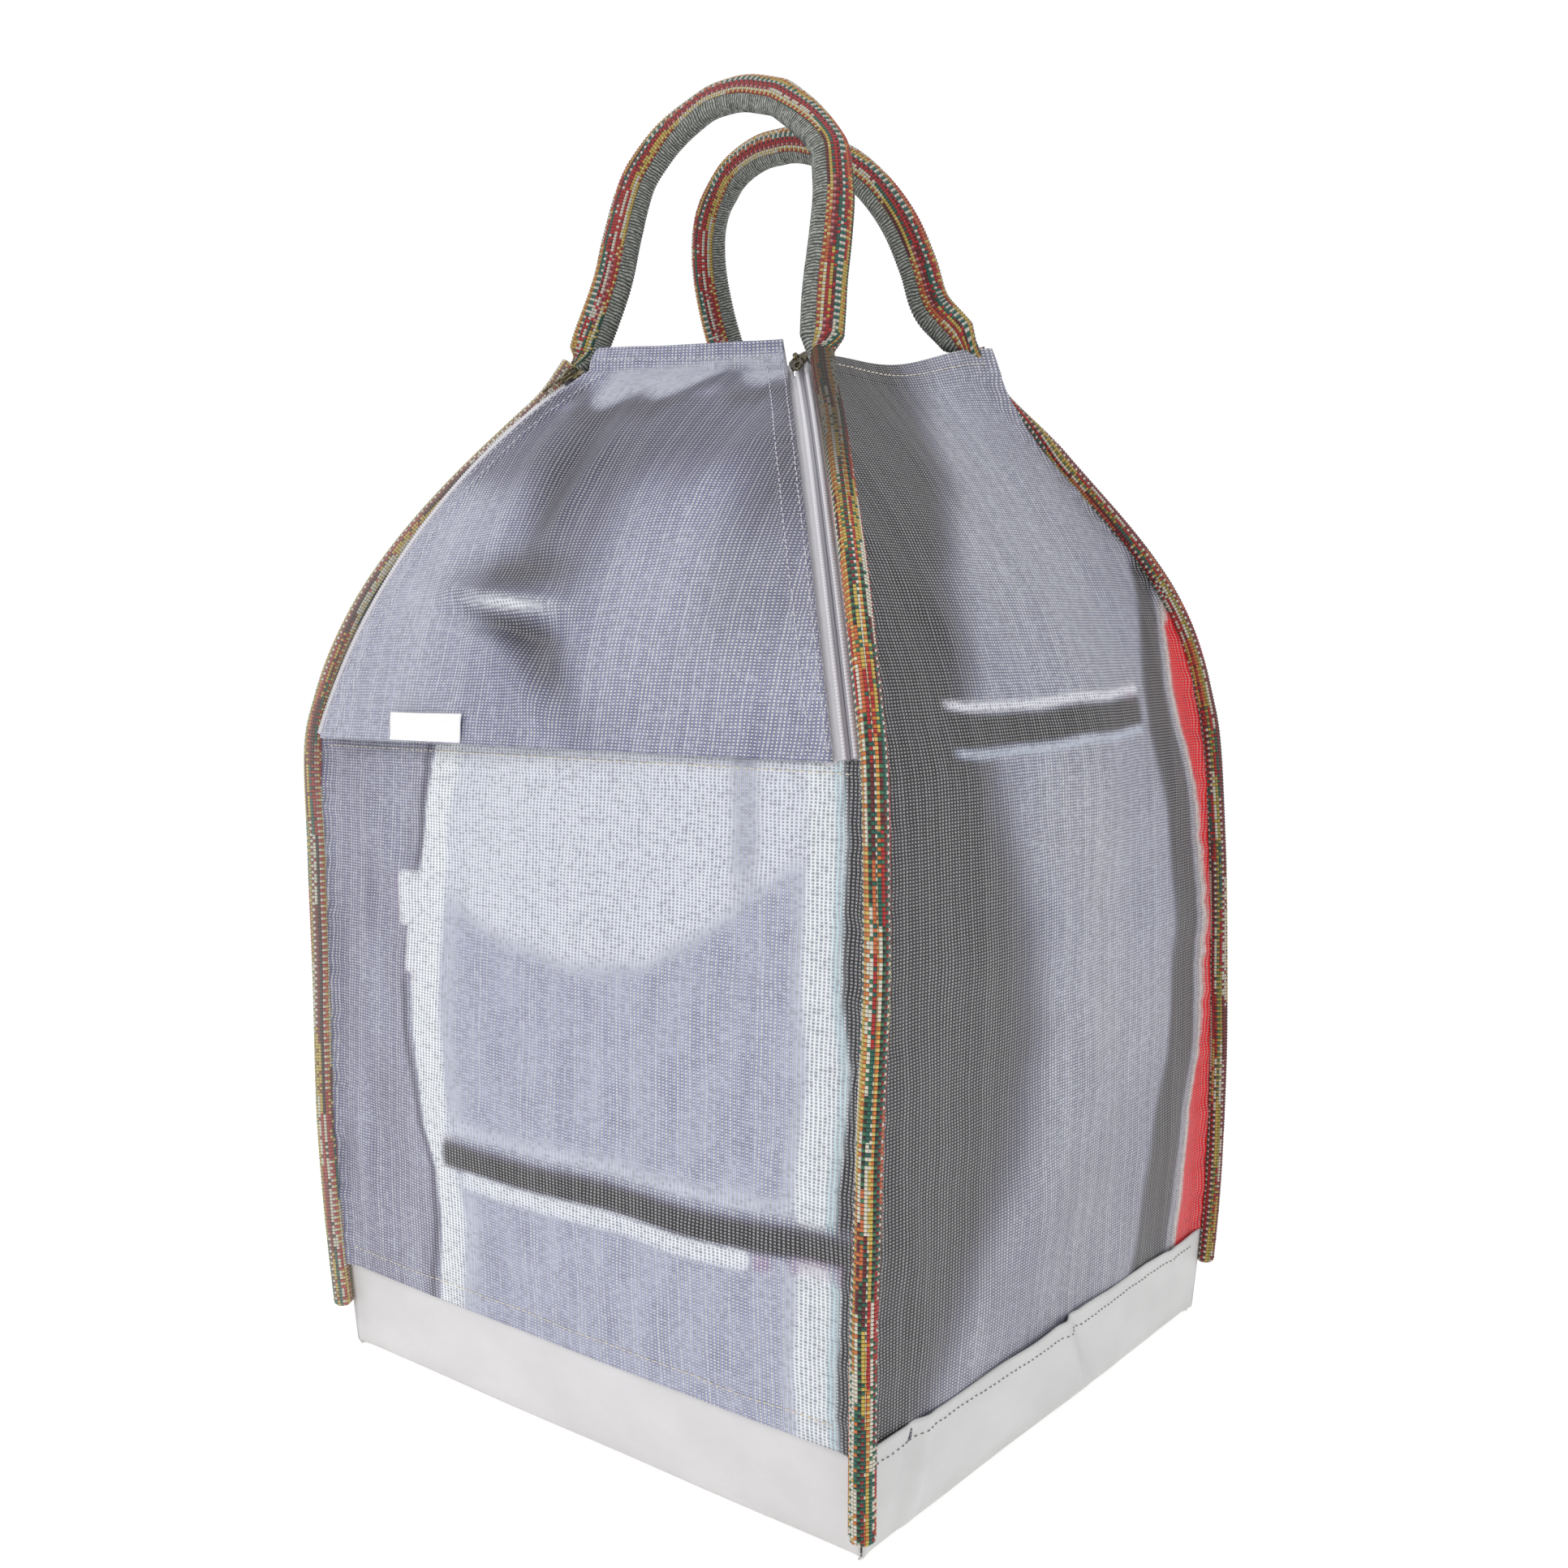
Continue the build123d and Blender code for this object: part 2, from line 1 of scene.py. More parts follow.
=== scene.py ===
import json
import math
import bpy
import numpy as np
from mathutils import Matrix, Vector
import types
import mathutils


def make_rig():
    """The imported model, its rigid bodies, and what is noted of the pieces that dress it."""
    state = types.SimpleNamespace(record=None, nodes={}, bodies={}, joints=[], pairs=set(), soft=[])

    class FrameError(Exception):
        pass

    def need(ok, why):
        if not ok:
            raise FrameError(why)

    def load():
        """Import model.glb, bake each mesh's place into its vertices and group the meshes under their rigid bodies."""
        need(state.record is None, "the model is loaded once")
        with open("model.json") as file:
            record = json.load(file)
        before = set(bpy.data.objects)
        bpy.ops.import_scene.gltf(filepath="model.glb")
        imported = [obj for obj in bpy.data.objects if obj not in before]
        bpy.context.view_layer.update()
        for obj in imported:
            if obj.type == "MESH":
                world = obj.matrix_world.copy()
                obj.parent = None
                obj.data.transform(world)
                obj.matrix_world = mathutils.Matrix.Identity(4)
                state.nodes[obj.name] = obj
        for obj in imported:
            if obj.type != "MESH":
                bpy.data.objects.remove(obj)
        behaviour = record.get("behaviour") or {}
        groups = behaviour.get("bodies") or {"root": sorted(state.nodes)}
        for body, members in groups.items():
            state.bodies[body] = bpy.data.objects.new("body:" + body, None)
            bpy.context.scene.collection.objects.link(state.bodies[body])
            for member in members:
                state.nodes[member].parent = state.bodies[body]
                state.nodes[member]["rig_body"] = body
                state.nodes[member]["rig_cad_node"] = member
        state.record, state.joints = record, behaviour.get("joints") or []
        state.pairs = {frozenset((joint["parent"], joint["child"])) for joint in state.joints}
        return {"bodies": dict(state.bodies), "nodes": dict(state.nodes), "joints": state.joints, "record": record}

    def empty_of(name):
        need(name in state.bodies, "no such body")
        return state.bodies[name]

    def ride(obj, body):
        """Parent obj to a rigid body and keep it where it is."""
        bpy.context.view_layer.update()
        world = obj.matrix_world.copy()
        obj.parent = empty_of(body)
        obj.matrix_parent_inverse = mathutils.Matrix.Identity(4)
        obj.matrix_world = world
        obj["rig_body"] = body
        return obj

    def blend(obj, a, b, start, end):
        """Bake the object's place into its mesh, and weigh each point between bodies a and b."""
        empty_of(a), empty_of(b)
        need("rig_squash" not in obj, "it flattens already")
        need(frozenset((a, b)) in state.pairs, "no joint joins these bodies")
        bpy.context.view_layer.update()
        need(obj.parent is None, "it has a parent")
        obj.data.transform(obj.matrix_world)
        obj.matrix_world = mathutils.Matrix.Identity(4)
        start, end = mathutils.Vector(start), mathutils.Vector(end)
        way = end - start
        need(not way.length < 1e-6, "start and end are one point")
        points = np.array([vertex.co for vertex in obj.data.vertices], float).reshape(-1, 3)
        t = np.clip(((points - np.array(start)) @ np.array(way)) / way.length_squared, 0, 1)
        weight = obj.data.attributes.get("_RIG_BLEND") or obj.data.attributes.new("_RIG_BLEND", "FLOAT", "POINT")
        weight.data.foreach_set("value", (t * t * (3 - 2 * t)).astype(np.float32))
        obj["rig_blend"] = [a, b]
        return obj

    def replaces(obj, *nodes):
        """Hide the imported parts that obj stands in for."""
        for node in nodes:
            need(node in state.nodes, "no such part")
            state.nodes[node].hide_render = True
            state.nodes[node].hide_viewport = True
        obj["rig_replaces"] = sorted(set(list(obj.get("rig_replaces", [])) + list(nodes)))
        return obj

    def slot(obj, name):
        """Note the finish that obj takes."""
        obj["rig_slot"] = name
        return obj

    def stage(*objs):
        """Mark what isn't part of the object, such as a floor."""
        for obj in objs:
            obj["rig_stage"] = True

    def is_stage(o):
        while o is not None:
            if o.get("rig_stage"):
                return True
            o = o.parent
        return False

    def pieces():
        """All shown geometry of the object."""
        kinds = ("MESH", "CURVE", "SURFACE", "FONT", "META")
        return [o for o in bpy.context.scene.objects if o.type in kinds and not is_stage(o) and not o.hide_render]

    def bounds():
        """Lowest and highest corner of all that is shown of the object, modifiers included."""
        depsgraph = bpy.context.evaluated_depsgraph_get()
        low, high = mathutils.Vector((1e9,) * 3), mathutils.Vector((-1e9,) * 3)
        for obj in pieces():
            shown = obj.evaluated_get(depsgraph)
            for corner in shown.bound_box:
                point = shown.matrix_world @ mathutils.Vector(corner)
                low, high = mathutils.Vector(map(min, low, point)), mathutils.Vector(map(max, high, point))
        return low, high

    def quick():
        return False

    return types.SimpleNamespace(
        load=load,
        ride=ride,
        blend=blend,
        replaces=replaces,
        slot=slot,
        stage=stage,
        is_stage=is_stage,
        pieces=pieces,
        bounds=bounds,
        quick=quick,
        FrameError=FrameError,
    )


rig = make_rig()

# Looks of the zipped mesh carrier bag.  Tables are in millimetres in the row frame; meshes are written in metres.
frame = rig.load()
cad_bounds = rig.bounds()
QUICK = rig.quick()
MM = 0.001

# ------------------------------------------------------------------ shape tables (same as the part's)
base_w, base_d, skirt_h, seam_z = 300.0, 284.0, 42.0, 298.0
flap_t, flap_gap, slider_top, slider_len, slider_w = 1.2, 0.95, 6.5, 11.5, 9.4
LOWER = [
    (0.0, -base_w / 2, base_w / 2, -base_d / 2, base_d / 2),
    (42.0, -150.9, 152.3, -145.6, 146.6),
    (110.0, -155.3, 155.2, -147.3, 146.8),
    (180.0, -159.1, 156.4, -144.9, 143.4),
    (240.0, -164.2, 156.2, -142.0, 139.2),
    (297.0, -167.2, 153.2, -139.1, 135.6),
]
UP = {
    "FL": [(-167.2, -139.1, 297.0), (-164.1, -136.2, 313.5), (-159.9, -132.5, 329.9), (-154.5, -127.5, 346.2), (-148.1, -120.9, 362.7), (-140.6, -112.4, 379.4), (-132.0, -102.2, 396.2), (-122.5, -90.7, 412.8), (-112.5, -78.4, 428.8), (-102.1, -65.9, 444.2), (-91.9, -53.9, 459.5), (-84.6, -45.2, 475.5)],
    "FR": [(153.2, -139.1, 297.0), (149.5, -136.2, 313.3), (144.9, -132.5, 329.5), (139.2, -127.6, 345.4), (132.1, -121.0, 361.4), (123.3, -112.5, 377.5), (113.2, -102.2, 393.7), (101.9, -90.6, 409.6), (90.1, -78.1, 424.8), (78.5, -65.6, 438.9), (67.7, -53.9, 451.6), (58.4, -43.6, 462.9)],
    "BR": [(153.2, 135.6, 297.0), (149.7, 134.8, 313.6), (145.6, 133.7, 330.5), (140.1, 131.6, 347.2), (132.7, 127.7, 363.9), (123.4, 121.5, 380.5), (112.6, 113.8, 397.1), (101.0, 105.2, 413.5), (89.2, 96.6, 430.0), (77.9, 88.7, 446.3), (68.4, 82.3, 464.0), (61.5, 79.0, 483.0)],
    "BL": [(-167.2, 135.6, 297.0), (-164.4, 134.9, 313.6), (-160.8, 133.9, 330.4), (-155.8, 131.9, 347.0), (-149.7, 128.1, 363.6), (-142.4, 122.0, 380.2), (-134.4, 114.4, 396.8), (-125.8, 105.9, 413.2), (-117.0, 97.5, 429.4), (-108.2, 89.8, 445.8), (-99.8, 83.6, 462.2), (-92.0, 79.5, 479.0)],
}
ZIPS = {
    "left": dict(c=(-11.02, 129.02, 203.43), n=(0.8435, -0.5188, -0.1393), r=327.66, sgn=1, phi=0.0, arc=38.4, top=(-0.2027, -0.5476, 0.8118)),
    "right": dict(c=(-13.49, 75.12, 211.26), n=(0.7804, 0.6173, 0.0995), r=280.9, sgn=-1, phi=-29.0, arc=46.6, top=(0.1986, -0.3956, 0.8967)),
}
FRONT_LINE = [(-74.2, -32.9, 513.8), (-72.7, -27.7, 537.6), (-69.4, -23.2, 560.0), (-56.6, -17.4, 580.0), (-35.5, -14.2, 592.0), (-13.0, -13.3, 595.3), (10.5, -15.4, 588.0), (31.5, -19.2, 574.0), (46.8, -23.8, 557.0), (54.2, -28.8, 538.0), (57.0, -34.8, 515.9), (58.2, -40.7, 494.1)]
REAR_LINE = [(-98.5, 74.5, 503.3), (-100.0, 67.5, 523.5), (-98.5, 60.4, 543.5), (-91.0, 53.4, 563.5), (-74.0, 47.8, 579.6), (-54.0, 45.0, 587.4), (-33.5, 44.4, 589.4), (-14.0, 45.8, 585.5), (5.0, 49.6, 575.5), (20.5, 54.4, 561.5), (32.0, 60.2, 544.5), (38.7, 65.5, 524.4), (43.0, 70.6, 504.0)]
SIDES = {"front": ("FL", "FR"), "right": ("FR", "BR"), "back": ("BR", "BL"), "left": ("BL", "FL")}
DIAG = {"FL": (-1, -1), "FR": (1, -1), "BR": (1, 1), "BL": (-1, 1)}


def A(*p):
    return np.array(p if len(p) > 1 else p[0], float)


def unit(v):
    v = np.asarray(v, float)
    return v / np.maximum(np.linalg.norm(v, axis=-1, keepdims=True), 1e-12)


def smooth(a, b, x):
    t = np.clip((np.asarray(x, float) - a) / (b - a), 0, 1)
    return t * t * (3 - 2 * t)


def hermite(xs, ys, x):
    """Smooth curve through rows ys at xs."""
    xs, ys, x = np.asarray(xs, float), np.asarray(ys, float), np.asarray(x, float)
    m = np.gradient(ys, xs, axis=0)
    i = np.clip(np.searchsorted(xs, x, side="right") - 1, 0, len(xs) - 2)
    h = xs[i + 1] - xs[i]
    t = (x - xs[i]) / h
    if ys.ndim > 1:
        h, t = h[..., None], t[..., None]
    t2, t3 = t * t, t * t * t
    return ys[i] * (2 * t3 - 3 * t2 + 1) + m[i] * h * (t3 - 2 * t2 + t) + ys[i + 1] * (3 * t2 - 2 * t3) + m[i + 1] * h * (t3 - t2)


def waves(u, v, size, seed, n=9):
    """Soft cloth undulation, about -1 to 1, with waves about size long."""
    rng = np.random.default_rng(seed)
    out = 0
    for _ in range(n):
        a = rng.uniform(0, 2 * math.pi)
        k = 2 * math.pi / (size * rng.uniform(0.7, 1.6))
        out = out + np.sin(u * math.cos(a) * k + v * math.sin(a) * k + rng.uniform(0, 6.28))
    return out / math.sqrt(n) / 1.4


def ridge(u, v, p, q, width, height, fade=0.35):
    """A fold along the line p-q of this half width and height, faded at its ends."""
    p, q = A(p), A(q)
    d = q - p
    ln = np.linalg.norm(d)
    d = d / ln
    s = ((u - p[0]) * d[0] + (v - p[1]) * d[1]) / ln
    w = (u - p[0]) * -d[1] + (v - p[1]) * d[0]
    return height * np.exp(-((w / width) ** 2)) * smooth(-fade, fade, s) * (1 - smooth(1 - fade, 1 + fade, s))


# corner lines: knots at t = z / 297 up to the seam, then 1 + i / 11 over the shoulder
KNOT_T = [r[0] / 297.0 for r in LOWER] + [1 + i / 11 for i in range(1, 12)]


def corner(name, t):
    low = [(r[1] if name[1] == "L" else r[2], r[3] if name[0] == "F" else r[4], r[0]) for r in LOWER]
    return hermite(KNOT_T, low + list(UP[name][1:]), t)


# ------------------------------------------------------------------ meshes
def link(obj):
    bpy.context.scene.collection.objects.link(obj)
    return obj


def build(name, verts, quads, uv=None, mats=(), mat_index=None, colour=None, shade=True, tris=None):
    """A mesh object from mm vertices and faces, with a UV map in mm and an optional point colour."""
    verts = np.asarray(verts, float).reshape(-1, 3)
    polys = [np.asarray(quads, int).reshape(-1, 4)] if quads is not None and len(quads) else []
    counts = [4] * (len(polys[0]) if polys else 0)
    idx = polys[0].ravel() if polys else np.zeros(0, int)
    if tris is not None and len(tris):
        t = np.asarray(tris, int).reshape(-1, 3)
        idx = np.concatenate([idx, t.ravel()])
        counts = counts + [3] * len(t)
    counts = np.array(counts, np.int32)
    me = bpy.data.meshes.new(name)
    me.vertices.add(len(verts))
    me.vertices.foreach_set("co", (verts * MM).astype(np.float32).ravel())
    me.loops.add(len(idx))
    me.loops.foreach_set("vertex_index", idx.astype(np.int32))
    me.polygons.add(len(counts))
    starts = np.concatenate([[0], np.cumsum(counts)[:-1]]).astype(np.int32)
    me.polygons.foreach_set("loop_start", starts)
    me.update(calc_edges=True)
    me.validate()
    if uv is not None:
        layer = me.uv_layers.new(name="mm")
        vi = np.zeros(len(me.loops), np.int32)
        me.loops.foreach_get("vertex_index", vi)
        layer.data.foreach_set("uv", np.asarray(uv, float).reshape(-1, 2)[vi].astype(np.float32).ravel())
    for m in mats:
        me.materials.append(m)
    if mat_index is not None and len(me.polygons) == len(mat_index):
        me.polygons.foreach_set("material_index", np.asarray(mat_index, np.int32))
    if colour is not None:
        at = me.color_attributes.new(name="tint", type="FLOAT_COLOR", domain="POINT")
        c = np.ones((len(verts), 4), np.float32)
        c[:, :3] = np.asarray(colour, float).reshape(-1, 3)
        at.data.foreach_set("color", c.ravel())
    me.polygons.foreach_set("use_smooth", np.full(len(me.polygons), bool(shade)))
    return link(bpy.data.objects.new(name, me))


def grid_faces(rows, cols, start=0, wrap=False, flip=False):
    i = np.arange(rows - 1)[:, None] * cols
    j = np.arange(cols if wrap else cols - 1)[None, :]
    k = (j + 1) % cols
    q = np.stack([i + j, i + k, i + cols + k, i + cols + j], -1).reshape(-1, 4) + start
    return q[:, ::-1] if flip else q


def grid_normals(P, outward):
    n = unit(np.cross(np.gradient(P, axis=1), np.gradient(P, axis=0)))
    if float((n * outward).sum(-1).mean()) < 0:
        n = -n
    return n


def sheet(name, P, outward, uv, mats, t_out=0.5, t_in=-0.5, colour=None, inner_colour=(0.8, 0.8, 0.8), thick=None):
    """Cloth of two faces and a rim from a grid of points: mats[0] outside, mats[1] inside."""
    rows, cols = P.shape[:2]
    N = grid_normals(P, outward)
    out_off = t_out if thick is None else t_out + thick
    O = P + N * (out_off if np.isscalar(out_off) else out_off[..., None])
    I = P + N * t_in
    flip = float((np.cross(P[0, 1] - P[0, 0], P[1, 0] - P[0, 0]) * N[0, 0]).sum()) < 0
    n = rows * cols
    outer = grid_faces(rows, cols, 0, flip=flip)
    inner = grid_faces(rows, cols, n, flip=not flip)
    edge = np.concatenate([np.arange(cols), np.arange(1, rows) * cols + cols - 1, (rows - 1) * cols + np.arange(cols - 2, -1, -1), np.arange(rows - 2, 0, -1) * cols])
    nxt = np.roll(edge, -1)
    rim = np.stack([edge, edge + n, nxt + n, nxt], -1)
    if flip:
        rim = rim[:, ::-1]
    faces = np.concatenate([outer, inner, rim])
    mi = np.concatenate([np.zeros(len(outer)), np.full(len(inner), 1 if len(mats) > 1 else 0), np.zeros(len(rim))])
    col = None
    if colour is not None:
        col = np.concatenate([colour.reshape(-1, 3), np.broadcast_to(inner_colour, (n, 3))])
    return build(name, np.concatenate([O.reshape(-1, 3), I.reshape(-1, 3)]), faces, np.concatenate([uv.reshape(-1, 2)] * 2), mats, mi, col), O, N


def tube(name, rings, uv, mats, closed_ends=True, wrap=True, colour=None, mat_rows=None):
    """A swept solid from rings (R, C, 3); uv (R, C, 2)."""
    R, C = rings.shape[:2]
    # the seam column is doubled so that the UV doesn't wrap backwards
    if wrap:
        rings = np.concatenate([rings, rings[:, :1]], 1)
        C += 1
    verts = rings.reshape(-1, 3)
    faces = grid_faces(R, C)
    uvs = uv.reshape(-1, 2)
    tris = []
    if closed_ends:
        n = len(verts)
        verts = np.concatenate([verts, rings[0].mean(0)[None], rings[-1].mean(0)[None]])
        uvs = np.concatenate([uvs, uv[0].mean(0)[None], uv[-1].mean(0)[None]])
        a = np.arange(C - 1)
        tris = np.concatenate([np.stack([a + 1, a, np.full(C - 1, n)], -1), np.stack([a + (R - 1) * C, a + 1 + (R - 1) * C, np.full(C - 1, n + 1)], -1)])
    o = build(name, verts, faces, uvs, mats, None, colour, True, tris)
    return o


def fix_normals(o):
    bm = __import__("bmesh").new()
    bm.from_mesh(o.data)
    __import__("bmesh").ops.remove_doubles(bm, verts=bm.verts, dist=1e-7)
    __import__("bmesh").ops.recalc_face_normals(bm, faces=bm.faces)
    bm.to_mesh(o.data)
    bm.free()


# ------------------------------------------------------------------ materials
def lin(r, g, b):
    return tuple(((c / 255) / 12.92 if c / 255 <= 0.04045 else ((c / 255 + 0.055) / 1.055) ** 2.4) for c in (r, g, b))


def rgba(*c):
    return lin(*c) + (1.0,)


class Nodes:
    """Small helper that writes a node tree."""

    def __init__(self, name):
        self.m = bpy.data.materials.new(name)
        self.m.use_nodes = True
        self.t = self.m.node_tree
        self.t.nodes.clear()
        self.out = self.t.nodes.new("ShaderNodeOutputMaterial")
        self.b = self.t.nodes.new("ShaderNodeBsdfPrincipled")
        self.t.links.new(self.b.outputs[0], self.out.inputs[0])

    def new(self, kind, **kw):
        n = self.t.nodes.new(kind)
        for k, v in kw.items():
            setattr(n, k, v)
        return n

    def put(self, sock, v):
        if isinstance(v, bpy.types.NodeSocket):
            self.t.links.new(v, sock)
        elif v is not None:
            sock.default_value = v

    def math(self, op, a, b=None, c=None, clamp=False):
        n = self.new("ShaderNodeMath", operation=op, use_clamp=clamp)
        self.put(n.inputs[0], a)
        self.put(n.inputs[1], b)
        self.put(n.inputs[2], c)
        return n.outputs[0]

    def mix(self, f, a, b, kind="MIX"):
        n = self.new("ShaderNodeMix", data_type="RGBA", blend_type=kind)
        self.put(n.inputs[0], f)
        self.put(n.inputs[6], a)
        self.put(n.inputs[7], b)
        return n.outputs[2]

    def step(self, x, a, b):
        """Smooth 0 to 1 as x goes from a to b."""
        n = self.new("ShaderNodeMapRange", interpolation_type="SMOOTHSTEP")
        self.put(n.inputs[0], x)
        n.inputs[1].default_value, n.inputs[2].default_value = a, b
        return n.outputs[0]

    def uv(self):
        n = self.new("ShaderNodeUVMap", uv_map="mm")
        s = self.new("ShaderNodeSeparateXYZ")
        self.t.links.new(n.outputs[0], s.inputs[0])
        return s.outputs[0], s.outputs[1]

    def vec(self, x, y, z=0.0):
        n = self.new("ShaderNodeCombineXYZ")
        self.put(n.inputs[0], x)
        self.put(n.inputs[1], y)
        self.put(n.inputs[2], z)
        return n.outputs[0]

    def noise(self, v, scale=1.0, detail=2.0, rough=0.5):
        n = self.new("ShaderNodeTexNoise")
        self.put(n.inputs["Vector"], v)
        n.inputs["Scale"].default_value = scale
        n.inputs["Detail"].default_value = detail
        n.inputs["Roughness"].default_value = rough
        return n.outputs[0]

    def white(self, v):
        n = self.new("ShaderNodeTexWhiteNoise", noise_dimensions="3D")
        self.put(n.inputs["Vector"], v)
        return n.outputs[0]

    def ramp(self, f, stops, interp="LINEAR"):
        n = self.new("ShaderNodeValToRGB")
        n.color_ramp.interpolation = interp
        e = n.color_ramp.elements
        while len(e) > 1:
            e.remove(e[-1])
        e[0].position, e[0].color = stops[0][0], stops[0][1]
        for p, c in stops[1:]:
            x = e.new(p)
            x.color = c
        self.put(n.inputs[0], f)
        return n.outputs[0]

    def bump(self, h, dist, strength=1.0, normal=None):
        n = self.new("ShaderNodeBump")
        n.inputs["Strength"].default_value = strength
        n.inputs["Distance"].default_value = dist
        self.put(n.inputs["Height"], h)
        if normal is not None:
            self.put(n.inputs["Normal"], normal)
        return n.outputs[0]

    def set(self, **kw):
        for k, v in kw.items():
            self.put(self.b.inputs[k.replace("_", " ")], v)
        return self.m


def cloth(name, pu, pv, printed, hem=None):
    """PVC coated mesh: two sets of thick yarns with a small hole in each cell; printed cloth takes its colour from the point colour."""
    k = Nodes(name)
    u, v = k.uv()
    # the yarns wander a little
    wob = k.noise(k.vec(k.math("MULTIPLY", u, 0.05), k.math("MULTIPLY", v, 0.05)), 1.0, 2.0)
    uu = k.math("ADD", u, k.math("MULTIPLY", wob, 1.6))
    vv = k.math("ADD", v, k.math("MULTIPLY", wob, 1.1))
    cu = k.math("MULTIPLY", uu, 1 / pu)
    cv = k.math("MULTIPLY", vv, 1 / pv)
    fu = k.math("ABSOLUTE", k.math("SUBTRACT", k.math("FRACT", cu), 0.5))
    fv = k.math("ABSOLUTE", k.math("SUBTRACT", k.math("FRACT", cv), 0.5))
    cell = k.white(k.vec(k.math("FLOOR", cu), k.math("FLOOR", cv)))
    colline = k.white(k.vec(k.math("FLOOR", cu), 7.0))
    open_u = k.math("SUBTRACT", 1.0, k.step(k.math("ADD", fu, k.math("MULTIPLY", k.math("SUBTRACT", cell, 0.5), 0.08)), 0.20, 0.30))
    open_v = k.math("SUBTRACT", 1.0, k.step(k.math("ADD", fv, k.math("MULTIPLY", k.math("SUBTRACT", colline, 0.5), 0.10)), 0.22, 0.34))
    hole = k.math("MULTIPLY", open_u, open_v)
    # yarn relief: tall across the middle of each yarn
    yarn = k.math("MAXIMUM", k.math("MULTIPLY", fu, 2.0), k.math("MULTIPLY", fv, 1.7))
    fine = k.noise(k.vec(k.math("MULTIPLY", u, 2.2), k.math("MULTIPLY", v, 0.5)), 1.0, 3.0)
    if printed:
        at = k.new("ShaderNodeAttribute", attribute_name="tint")
        base = at.outputs["Color"]
        ring = k.step(yarn, 0.92, 0.55)
        # painted light and shade: the holes are painted near white for the light that comes through them, less of it
        # through the holes of the dark print and of the red print, and the yarn sides round each hole get painted shade
        lum = k.new("ShaderNodeRGBToBW")
        k.put(lum.inputs[0], at.outputs["Color"])
        sep = k.new("ShaderNodeSeparateColor")
        k.put(sep.inputs[0], at.outputs["Color"])
        red = k.step(k.math("SUBTRACT", sep.outputs[0], sep.outputs[2]), 0.2, 0.5)
        shadow = k.mix(k.step(lum.outputs[0], 0.04, 0.20), rgba(20, 16, 14), rgba(26, 26, 66))
        # painted shade on the yarn sides round each hole, towards the shadow colour
        base = k.mix(k.math("MULTIPLY", k.math("MULTIPLY", ring, 0.80), k.math("SUBTRACT", 1.0, k.math("MULTIPLY", red, 0.75))), base, shadow, "MIX")
        # painted light: share of near white paint in each hole
        share = k.math("ADD", 0.38, k.math("MULTIPLY", k.step(lum.outputs[0], 0.05, 0.34), 0.62))
        share = k.math("MULTIPLY", share, k.math("SUBTRACT", 1.0, k.math("MULTIPLY", red, 0.55)))
        base = k.mix(k.math("MULTIPLY", hole, share), base, rgba(252, 252, 252))
        # painted highlight: on the light print the coated columns are painted brighter as a shine, and the openings are
        # painted a blue grey shade
        light = k.step(lum.outputs[0], 0.36, 0.60)
        base = k.mix(k.math("MULTIPLY", k.math("MULTIPLY", light, k.math("SUBTRACT", 1.0, hole)), 0.72), base, k.mix(0.62, at.outputs["Color"], rgba(254, 254, 255)))
        base = k.mix(k.math("MULTIPLY", k.math("MULTIPLY", light, hole), 0.80), base, rgba(150, 159, 184))
        glint = k.math("MULTIPLY", k.math("MULTIPLY", k.step(cell, 0.60, 1.0), k.step(lum.outputs[0], 0.14, 0.30)), k.math("SUBTRACT", 0.20, k.math("MULTIPLY", light, 0.12)))
        base = k.mix(glint, base, rgba(236, 240, 250))
        base = k.mix(k.math("MULTIPLY", k.step(cell, 0.40, 0.0), 0.20), base, rgba(52, 50, 74))
        base = k.mix(k.math("MULTIPLY", k.step(fine, 0.45, 0.75), 0.14), base, rgba(90, 90, 112))
    else:
        base = k.mix(k.math("MULTIPLY", k.math("SUBTRACT", 1.0, yarn), 0.25), rgba(236, 237, 238), rgba(196, 198, 202))
    k.set(Base_Color=base, Roughness=0.46)
    k.b.inputs["Specular IOR Level"].default_value = 0.45
    k.put(k.b.inputs["Normal"], k.bump(k.math("ADD", yarn, k.math("MULTIPLY", fine, 0.2)), 0.00022, 0.8))
    alpha = k.math("SUBTRACT", 1.0, k.math("MULTIPLY", k.math("MULTIPLY", hole, share) if printed else hole, 0.30))
    k.put(k.b.inputs["Alpha"], alpha)
    return k.m


def pvc(name, tone=(216, 214, 215)):
    k = Nodes(name)
    u, v = k.uv()
    grain = k.noise(k.vec(k.math("MULTIPLY", u, 1.0), k.math("MULTIPLY", v, 1.0)), 1.3, 3.0, 0.6)
    broad = k.noise(k.vec(k.math("MULTIPLY", u, 0.02), k.math("MULTIPLY", v, 0.03)), 1.0, 3.0)
    # darker towards the bottom: the colour turns grey brown where v falls below 9 mm
    dirt = k.step(v, 9.0, 0.0)
    c = k.mix(k.step(broad, 0.3, 0.75), rgba(*[t - 6 for t in tone]), rgba(*[t + 3 for t in tone]))
    c = k.mix(k.math("MULTIPLY", dirt, 0.18), c, rgba(178, 170, 162))
    k.set(Base_Color=c, Roughness=k.math("ADD", 0.4, k.math("MULTIPLY", grain, 0.16)))
    k.put(k.b.inputs["Normal"], k.bump(grain, 0.00025, 0.55))
    return k.m


